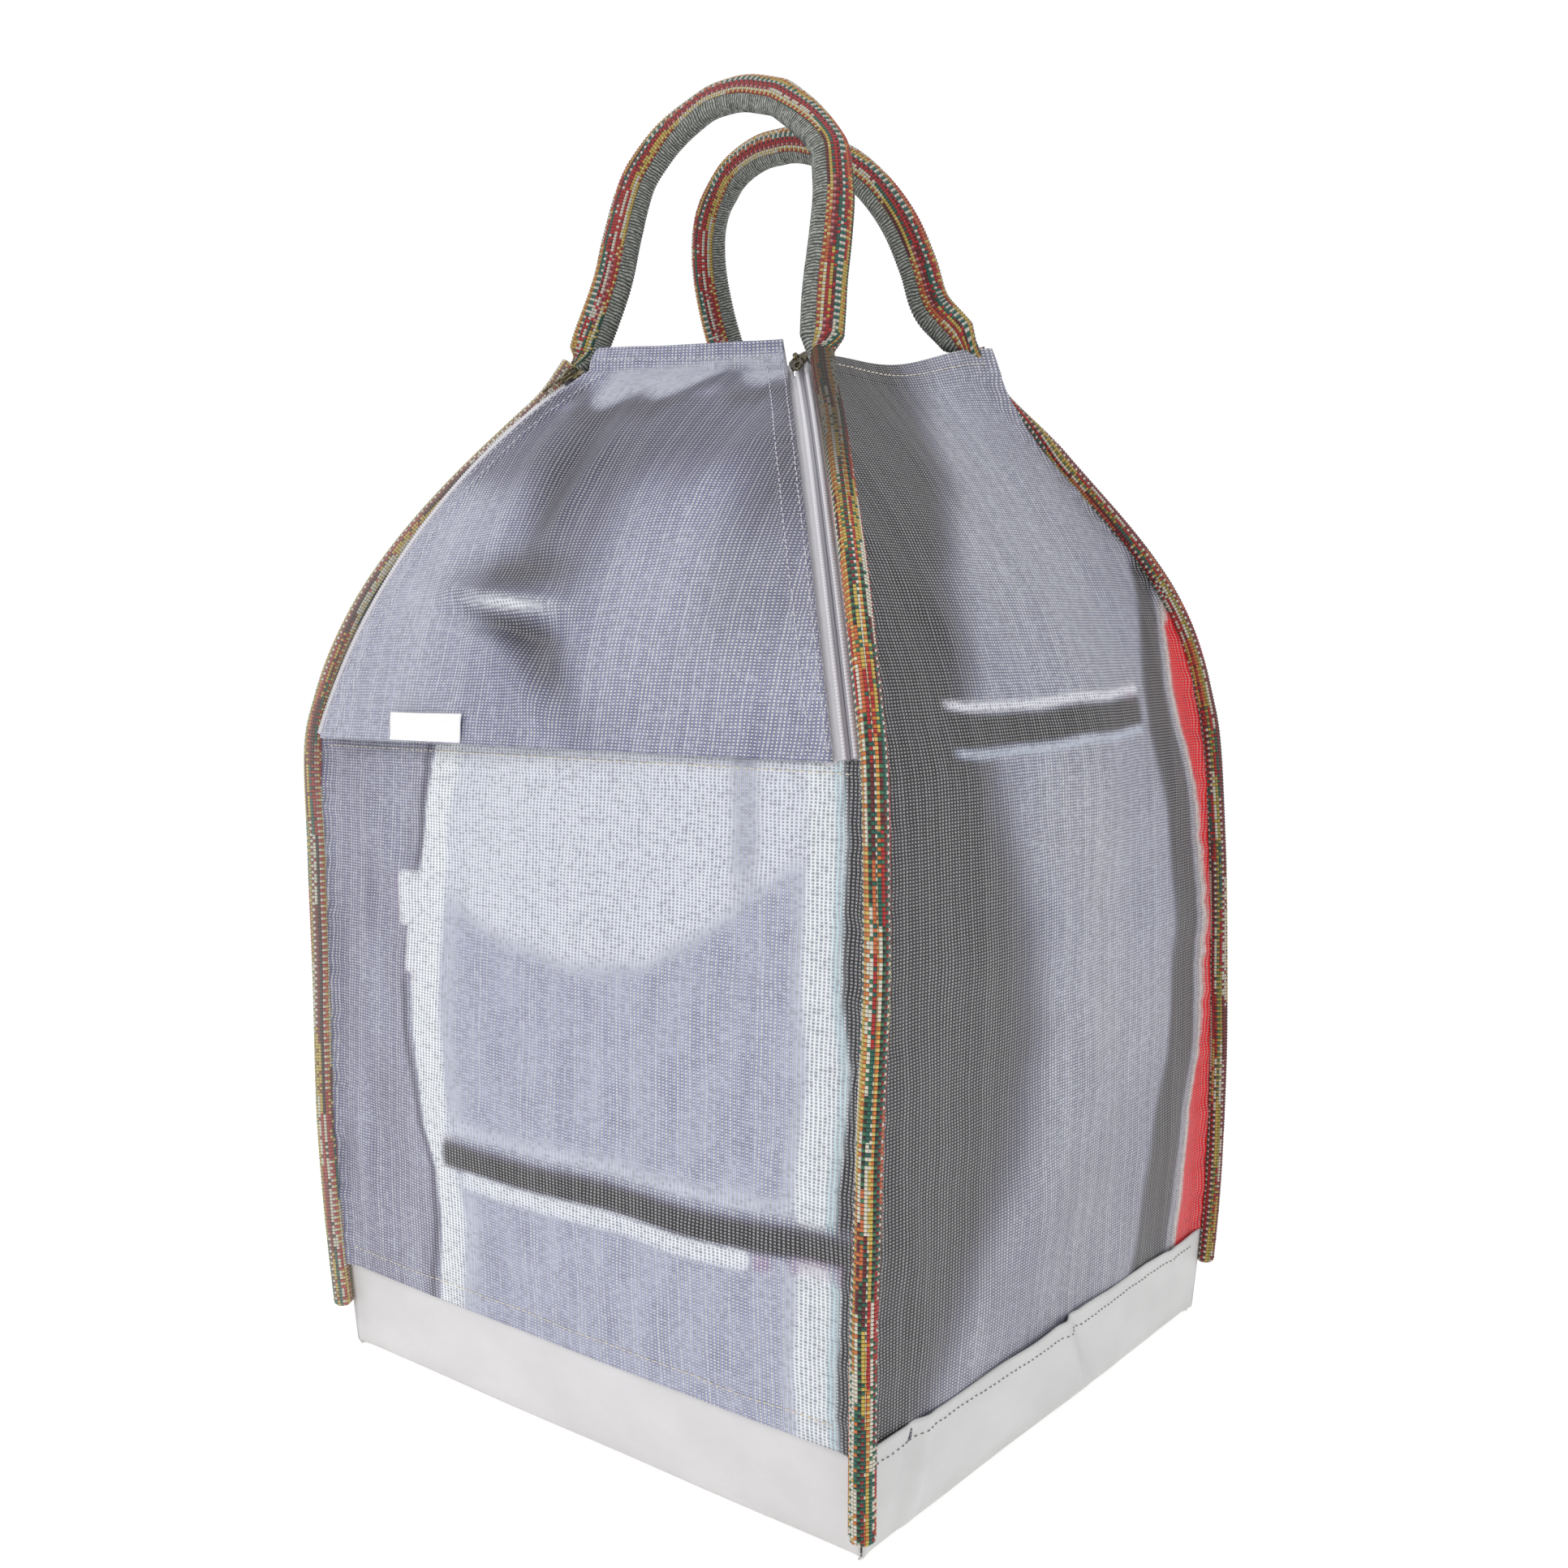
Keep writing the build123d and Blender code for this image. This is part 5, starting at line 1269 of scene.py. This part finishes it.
def solid(name, parts, M, mats, body, slot, node, bevel=0.28):
    """Joined metal shapes in a local frame (mm), put in place by M."""
    bm = bmesh.new()
    for kind, args in parts:
        b2 = bmesh.new()
        if kind == "box":
            x0, x1, y0, y1, z0, z1 = args
            bmesh.ops.create_cube(b2, size=1.0, matrix=Matrix.Translation(((x0 + x1) / 2, (y0 + y1) / 2, (z0 + z1) / 2)) @ Matrix.Diagonal((x1 - x0, y1 - y0, z1 - z0, 1)))
            bmesh.ops.bevel(b2, geom=b2.edges[:], offset=min(bevel, 0.42 * min(x1 - x0, y1 - y0, z1 - z0)), segments=3, profile=0.6, affect="EDGES")
        elif kind == "poly":   # outline in x, y with a thickness, holes by ring
            outline, z0, z1, holes = args
            if holes:
                n = len(outline)
                top, bot = [], []
                for ring in (outline, holes):
                    top.append([b2.verts.new((x, y, z1)) for x, y in ring])
                    bot.append([b2.verts.new((x, y, z0)) for x, y in ring])
                for i in range(n):
                    j = (i + 1) % n
                    b2.faces.new((top[0][i], top[0][j], top[1][j], top[1][i]))
                    b2.faces.new((bot[0][j], bot[0][i], bot[1][i], bot[1][j]))
                    b2.faces.new((bot[0][i], bot[0][j], top[0][j], top[0][i]))
                    b2.faces.new((top[1][i], top[1][j], bot[1][j], bot[1][i]))
            else:
                vs = [b2.verts.new((x, y, z1)) for x, y in outline]
                vb = [b2.verts.new((x, y, z0)) for x, y in outline]
                b2.faces.new(vs)
                b2.faces.new(vb[::-1])
                n = len(vs)
                for i in range(n):
                    j = (i + 1) % n
                    b2.faces.new((vb[i], vb[j], vs[j], vs[i]))
            bmesh.ops.recalc_face_normals(b2, faces=b2.faces[:])
            sharp = [e for e in b2.edges if len(e.link_faces) == 2 and e.calc_face_angle(0) > 0.9]
            bmesh.ops.bevel(b2, geom=sharp, offset=min(bevel, 0.4 * (z1 - z0)), segments=3, profile=0.6, affect="EDGES")
        elif kind == "rod":
            (x0, y0, z0), (x1, y1, z1), r = args
            p0, p1 = Vector((x0, y0, z0)), Vector((x1, y1, z1))
            d = p1 - p0
            rot = d.to_track_quat("Z", "Y").to_matrix().to_4x4()
            bmesh.ops.create_cone(b2, cap_ends=True, segments=20, radius1=r, radius2=r, depth=d.length, matrix=Matrix.Translation((p0 + p1) / 2) @ rot)
            caps = [e for e in b2.edges if e.calc_face_angle(0) > 1.0]
            bmesh.ops.bevel(b2, geom=caps, offset=r * 0.4, segments=3, profile=0.6, affect="EDGES")
        elif kind == "arch":   # bent strap: path in y, z with half width in x and half thickness
            path, hx, ht = args
            prev = None
            pts = [Vector((0, y, z)) for y, z in path]
            ringset = []
            for i, p in enumerate(pts):
                tn = (pts[min(i + 1, len(pts) - 1)] - pts[max(i - 1, 0)]).normalized()
                nn_ = Vector((1, 0, 0)).cross(tn)
                ring = []
                for k in range(12):
                    an = 2 * math.pi * k / 12
                    cx = math.copysign(abs(math.cos(an)) ** 0.6, math.cos(an)) * hx
                    cz = math.copysign(abs(math.sin(an)) ** 0.6, math.sin(an)) * ht
                    ring.append(b2.verts.new(p + Vector((cx, 0, 0)) + nn_ * cz))
                ringset.append(ring)
            for r0, r1 in zip(ringset[:-1], ringset[1:]):
                for k in range(12):
                    b2.faces.new((r0[k], r0[(k + 1) % 12], r1[(k + 1) % 12], r1[k]))
            b2.faces.new(ringset[0][::-1])
            b2.faces.new(ringset[-1])
            bmesh.ops.recalc_face_normals(b2, faces=b2.faces[:])
        me = bpy.data.meshes.new("tmp")
        b2.to_mesh(me)
        bm.from_mesh(me)
        b2.free()
        bpy.data.meshes.remove(me)
    me = bpy.data.meshes.new(name)
    bm.to_mesh(me)
    bm.free()
    me.transform(M)
    me.transform(Matrix.Scale(MM, 4))
    for m in mats:
        me.materials.append(m)
    me.polygons.foreach_set("use_smooth", np.ones(len(me.polygons), bool))
    o = link(bpy.data.objects.new(name, me))
    try:
        with bpy.context.temp_override(object=o, active_object=o, selected_objects=[o], selected_editable_objects=[o]):
            bpy.ops.object.shade_auto_smooth(angle=0.9)
    except Exception:
        pass
    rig.ride(o, body)
    if node:
        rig.replaces(o, node)
    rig.slot(o, slot)
    return o


for side in ZIPS:
    p, w, ou, up = zip_frame(side, slider_top)
    x = w if ZIPS[side]["sgn"] > 0 else -w
    y = np.cross(ou, x)
    M = Matrix(((x[0], y[0], ou[0], p[0]), (x[1], y[1], ou[1], p[1]), (x[2], y[2], ou[2], p[2]), (0, 0, 0, 1)))
    hl, hw = slider_len / 2, slider_w / 2

    def plate(sc=1.0):
        pts = []
        for k in range(13):      # rounded shoulders
            a_ = math.pi * k / 12
            pts.append((math.copysign(abs(math.cos(a_)) ** 0.55, math.cos(a_)) * hw * sc, hl - 3.2 + 3.1 * math.sin(a_) ** 0.8))
        for xx, yy in ((-hw * 0.98, 0.2), (-hw * 0.82, -2.6), (-hw * 0.64, -hl + 0.6), (-hw * 0.5, -hl), (hw * 0.5, -hl), (hw * 0.64, -hl + 0.6), (hw * 0.82, -2.6), (hw * 0.98, 0.2)):
            pts.append((xx * sc, yy))
        return pts

    path = [(-3.4, 3.2), (-3.35, 4.4), (-2.9, 5.6), (-1.9, 6.25), (0, 6.4), (1.9, 6.25), (2.9, 5.6), (3.35, 4.4), (3.4, 3.2)]
    solid(side + "_slider_body", [
        ("poly", (plate(), 2.85, 3.9, None)), ("poly", (plate(), -2.1, -1.0, None)),
        ("box", (-hw + 0.1, -3.85, -hl + 4.2, hl - 1.2, 0.8, 3.0)), ("box", (3.85, hw - 0.1, -hl + 4.2, hl - 1.2, 0.8, 3.0)),
        ("box", (-0.35, 0.35, hl - 4.2, hl - 0.6, -1.3, 3.1)), ("arch", (path, 0.95, 0.45)),
    ], M, [M_METAL], side + "_slider", "zip_metal", side + "_slider")
    # pull: eye, waist and a tapered plate with a long opening
    outer, inner = [], []
    for k in range(32):
        a_ = 2 * math.pi * k / 32
        cx, cy = math.cos(a_), math.sin(a_)
        yy = -10.9 + 5.6 * cy
        wd = 2.75 - 0.055 * (yy + 5.3) * -1.0 * (1 if yy < -5.3 else 1) * 0.9
        outer.append((math.copysign(abs(cx) ** 0.72, cx) * max(1.9, wd), yy))
        inner.append((math.copysign(abs(cx) ** 0.8, cx) * 1.15, -11.2 + 3.6 * cy))
    eye_o, eye_i = [], []
    for k in range(28):
        a_ = 2 * math.pi * k / 28
        cx, cy = math.cos(a_), math.sin(a_)
        eye_o.append((math.copysign(abs(cx) ** 0.6, cx) * 2.45, -2.3 + 3.3 * math.copysign(abs(cy) ** 0.7, cy)))
        eye_i.append((math.copysign(abs(cx) ** 0.6, cx) * 1.45, -2.1 + 2.2 * math.copysign(abs(cy) ** 0.7, cy)))
    solid(side + "_slider_pull", [
        ("poly", (outer, 4.5, 5.5, inner)), ("poly", (eye_o, 4.55, 5.45, eye_i)), ("rod", ((-2.2, 0, 5.0), (2.2, 0, 5.0), 0.5)),
        ("box", (-1.5, 1.5, -6.4, -4.9, 4.5, 5.5)),
    ], M, [M_METAL], side + "_pull", "zip_metal", side + "_pull", bevel=0.22)


# ------------------------------------------------------------------ label
def nearest_row(grid, x, v):
    """Point and normal on a cloth grid at U = x, V = v."""
    P, N, U, V_ = grid[:4]
    i = int(np.argmin(np.abs(V_[:, 0] - v)))
    j = int(np.argmin(np.abs(U[i] - x)))
    return P[i, j], N[i, j]


lab_rows, lab_cols = 22, 60
pts = np.zeros((lab_rows, lab_cols, 3))
uvl = np.zeros((lab_rows, lab_cols, 2))
P0, N0, U0, V0 = flap_grid[:4]
for i in range(lab_rows):
    v = 0.6 + 12.6 * i / (lab_rows - 1)
    for j in range(lab_cols):
        xx = -105.5 + 47.0 * j / (lab_cols - 1)
        ii = np.interp(v, V0[:, 0], np.arange(len(V0)))
        i0 = int(min(ii, len(V0) - 2))
        fr = ii - i0
        row = P0[i0] * (1 - fr) + P0[i0 + 1] * fr
        jj = np.interp(xx, row[:, 0], np.arange(row.shape[0]))
        j0 = int(min(jj, row.shape[0] - 2))
        fj = jj - j0
        pt = row[j0] * (1 - fj) + row[j0 + 1] * fj
        nn_ = N0[i0, j0]
        h = 1.0 + 0.9 * smooth(1, 12, v) + 0.5 * math.sin(xx / 9.0) * smooth(3, 12, v)
        pts[i, j] = pt + nn_ * h
        uvl[i, j] = (xx, v)
o, LO, LN = sheet("label_tag", pts, np.broadcast_to(A(0, -1, 0), pts.shape), uvl, [M_LABEL, M_LABEL], 0.22, -0.22)
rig.blend(o, "bag", "flap", start=FOLD0, end=FOLD1)
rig.replaces(o, "label"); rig.slot(o, "label")


# ------------------------------------------------------------------ stitches
def stitch_run(line, normals, pitch=3.4, length=2.5, r=0.3, lift=0.12, wob=0.12, seed=1):
    """Vertices and faces of a run of stitches along a line on the cloth."""
    line, normals = np.asarray(line, float), np.asarray(normals, float)
    d = np.concatenate([[0], np.cumsum(np.linalg.norm(np.diff(line, axis=0), axis=1))])
    rng = np.random.default_rng(seed)
    count = int(d[-1] / pitch)
    verts, faces = [], []
    for k in range(count):
        c = (k + 0.5) * pitch + rng.uniform(-0.15, 0.15)
        ln = length * rng.uniform(0.9, 1.05)
        s = np.linspace(c - ln / 2, c + ln / 2, 5)
        p = np.stack([np.interp(s, d, line[:, i]) for i in range(3)], -1)
        n = unit(np.stack([np.interp(s, d, normals[:, i]) for i in range(3)], -1))
        t = unit(np.gradient(p, axis=0))
        b = np.cross(t, n)
        p = p + b * (rng.uniform(-wob, wob) + np.linspace(-1, 1, 5)[:, None] * rng.uniform(-wob, wob))
        rr = r * A(0.35, 0.9, 1.0, 0.9, 0.35)
        hh = A(-0.35, lift, lift + 0.1, lift, -0.35)
        base = len(verts)
        for i in range(5):
            for m in range(6):
                an = math.pi / 3 * m
                verts.append(p[i] + n[i] * (hh[i] + rr[i] * math.sin(an)) + b[i] * (rr[i] * math.cos(an)))
        for i in range(4):
            for m in range(6):
                faces.append((base + i * 6 + m, base + i * 6 + (m + 1) % 6, base + (i + 1) * 6 + (m + 1) % 6, base + (i + 1) * 6 + m))
        faces.append((base, base + 1, base + 2, base + 3)); faces.append((base, base + 3, base + 4, base + 5))
        e = base + 24
        faces.append((e + 3, e + 2, e + 1, e)); faces.append((e + 5, e + 4, e + 3, e))
    return verts, faces


def stitches(name, runs, mat, body, blend=None):
    verts, faces = [], []
    for run in runs:
        v, f_ = run
        off = len(verts)
        verts += v
        faces += [tuple(i + off for i in q) for q in f_]
    o = build(name, verts, faces, np.zeros((len(verts), 2)), [mat])
    fix_normals(o)
    if blend:
        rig.blend(o, *blend[:2], start=blend[2], end=blend[3])
    else:
        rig.ride(o, body)
    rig.slot(o, "zip_tape")
    return o


def row_line(grid, v, off, g0=0.02, g1=0.98):
    P, N, U, V_ = grid[:4]
    Vc = V_[:, 0] if V_.ndim > 1 else V_
    ii = np.interp(v, Vc, np.arange(len(Vc)))
    i0 = int(min(ii, len(Vc) - 2))
    fr = ii - i0
    c = P.shape[1]
    sl_ = slice(int(g0 * (c - 1)), int(g1 * (c - 1)) + 1)
    n = unit(N[i0] * (1 - fr) + N[i0 + 1] * fr)
    return ((P[i0] * (1 - fr) + P[i0 + 1] * fr) + n * off)[sl_], n[sl_]


def z_line(P, N, z, off, g0=0.02, g1=0.98):
    """Line at height z on a grid whose rows rise."""
    c = P.shape[1]
    out, nn_ = [], []
    for j in range(int(g0 * (c - 1)), int(g1 * (c - 1)) + 1):
        zz = P[:, j, 2]
        ii = np.interp(z, zz, np.arange(len(zz)))
        i0 = int(min(ii, len(zz) - 2))
        fr = ii - i0
        out.append(P[i0, j] * (1 - fr) + P[i0 + 1, j] * fr + N[i0, j] * off)
        nn_.append(N[i0, j])
    return np.array(out), np.array(nn_)


Pf, Nf = front_low
runs = [stitch_run(*z_line(Pf, Nf, 292.6, 0.95, 0.015, 0.985), seed=2), stitch_run(*z_line(Pf, Nf, 51.5, 0.75), seed=3)]
Pb, Nb, Ub, Vb, Gb = panel_grid["back"]
runs.append(stitch_run(*z_line(Pb, Nb, 51.5, 0.7), seed=4))
for side in ("right", "back", "left"):
    Ps, Ns, Us, Vs, Gs = panel_grid[side]
    runs.append(stitch_run(*row_line((Ps, Ns, Us, Vs), Vs.max() - 6.8, 0.9, 0.03, 0.97), seed=5))
stitches("hem_stitching", runs, M_THREAD, "bag")
runs = []
for side in ("right", "left"):
    Ps, Ns, Us, Zs, Gs = panel_grid[side + "_skirt"]
    runs.append(stitch_run(*z_line(Ps, Ns, 36.0, 0.42), pitch=3.3, length=2.1, r=0.26, seed=6))
stitches("skirt_stitching", runs, M_THREAD_D, "bag")
# flap: along the top hem and beside both zips
Pq, Nq, Uq, Vq, Gq, Dq = flap_grid
runs = [stitch_run(*row_line((Pq, Nq, Uq, Vq), Vq.max() - 6.6, 0.9, 0.03, 0.97), seed=7)]
for left in (True, False):
    for dd in (1.9, 10.2):
        line, nrm_ = [], []
        for i in range(int(4 / fine), Pq.shape[0] - 2):
            row, nr = Pq[i], Nq[i]
            acc = np.concatenate([[0], np.cumsum(np.linalg.norm(np.diff(row, axis=0), axis=1))])
            target = dd if left else acc[-1] - dd
            jj = np.interp(target, acc, np.arange(len(acc)))
            j0 = int(min(jj, len(acc) - 2))
            fj = jj - j0
            line.append(row[j0] * (1 - fj) + row[j0 + 1] * fj + nr[j0] * 0.82)
            nrm_.append(nr[j0])
        runs.append(stitch_run(line, nrm_, seed=8 + int(dd)))
M_THREAD_F = plain("thread_lavender", (206, 204, 214), 0.7)
stitches("flap_stitching", runs, M_THREAD_F, "flap", ("bag", "flap", FOLD0, FOLD1))


# ------------------------------------------------------------------ studio and camera
def studio():
    sc = bpy.context.scene
    world = bpy.data.worlds.new("studio")
    sc.world = world
    world.use_nodes = True
    bg = world.node_tree.nodes["Background"]
    bg.inputs[0].default_value = (1, 1, 1, 1)
    lp = world.node_tree.nodes.new("ShaderNodeLightPath")
    mr = world.node_tree.nodes.new("ShaderNodeMapRange")
    mr.inputs[3].default_value, mr.inputs[4].default_value = 0.62, 1.02
    world.node_tree.links.new(lp.outputs["Is Camera Ray"], mr.inputs[0])
    world.node_tree.links.new(mr.outputs[0], bg.inputs[1])
    me = bpy.data.meshes.new("floor")
    n = 40
    verts = [(-6, -6, 0), (6, -6, 0), (6, 6, 0), (-6, 6, 0)]
    me.from_pydata(verts, [], [(0, 1, 2, 3)])
    fl = link(bpy.data.objects.new("floor", me))
    k = Nodes("floor_white")
    k.set(Base_Color=(0.8, 0.8, 0.8, 1), Roughness=0.9)
    k.b.inputs["Specular IOR Level"].default_value = 0.0
    k.b.inputs["Emission Color"].default_value = (1, 1, 1, 1)
    k.b.inputs["Emission Strength"].default_value = 0.50
    me.materials.append(k.m)
    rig.stage(fl)

    def area(name, loc, target, size, power, tone=(1, 1, 1)):
        li = bpy.data.lights.new(name, "AREA")
        li.shape = "DISK"
        li.size = size
        li.energy = power
        li.color = tone
        ob = link(bpy.data.objects.new(name, li))
        ob.location = loc
        ob.rotation_euler = (Vector(target) - Vector(loc)).to_track_quat("-Z", "Y").to_euler()
        return ob

    area("key", (-1.3, -1.3, 1.5), (0, 0, 0.25), 0.9, 13)
    area("fill", (1.9, -0.7, 0.9), (0, 0, 0.25), 1.2, 6)
    area("top", (0.1, 0.3, 2.0), (0, 0, 0.3), 1.0, 9)
    sc.view_settings.view_transform = "Standard"
    sc.view_settings.look = "None"
    sc.view_settings.exposure = 0.0


studio()
cam = bpy.data.cameras.new("camera")
cam.sensor_width = 36
cam.sensor_fit = "HORIZONTAL"
cam.lens = 36.41
cam.clip_start = 0.01
co = link(bpy.data.objects.new("camera", cam))
yaw, pitch, roll = math.radians(38.67), math.radians(4.89), math.radians(-0.28)
fwd = Vector((-math.sin(yaw) * math.cos(pitch), math.cos(yaw) * math.cos(pitch), -math.sin(pitch)))
rot = fwd.to_track_quat("-Z", "Y").to_matrix().to_4x4() @ Matrix.Rotation(roll, 4, "Z")
co.matrix_world = Matrix.Translation((0.4806, -0.5979, 0.3376)) @ rot
bpy.context.scene.camera = co


def plain_list(v):
    return json.loads(json.dumps(v, default=lambda q: list(q)))


with open("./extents.json", "w") as fh:
    json.dump({"cad": plain_list(cad_bounds), "visual": plain_list(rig.bounds())}, fh)
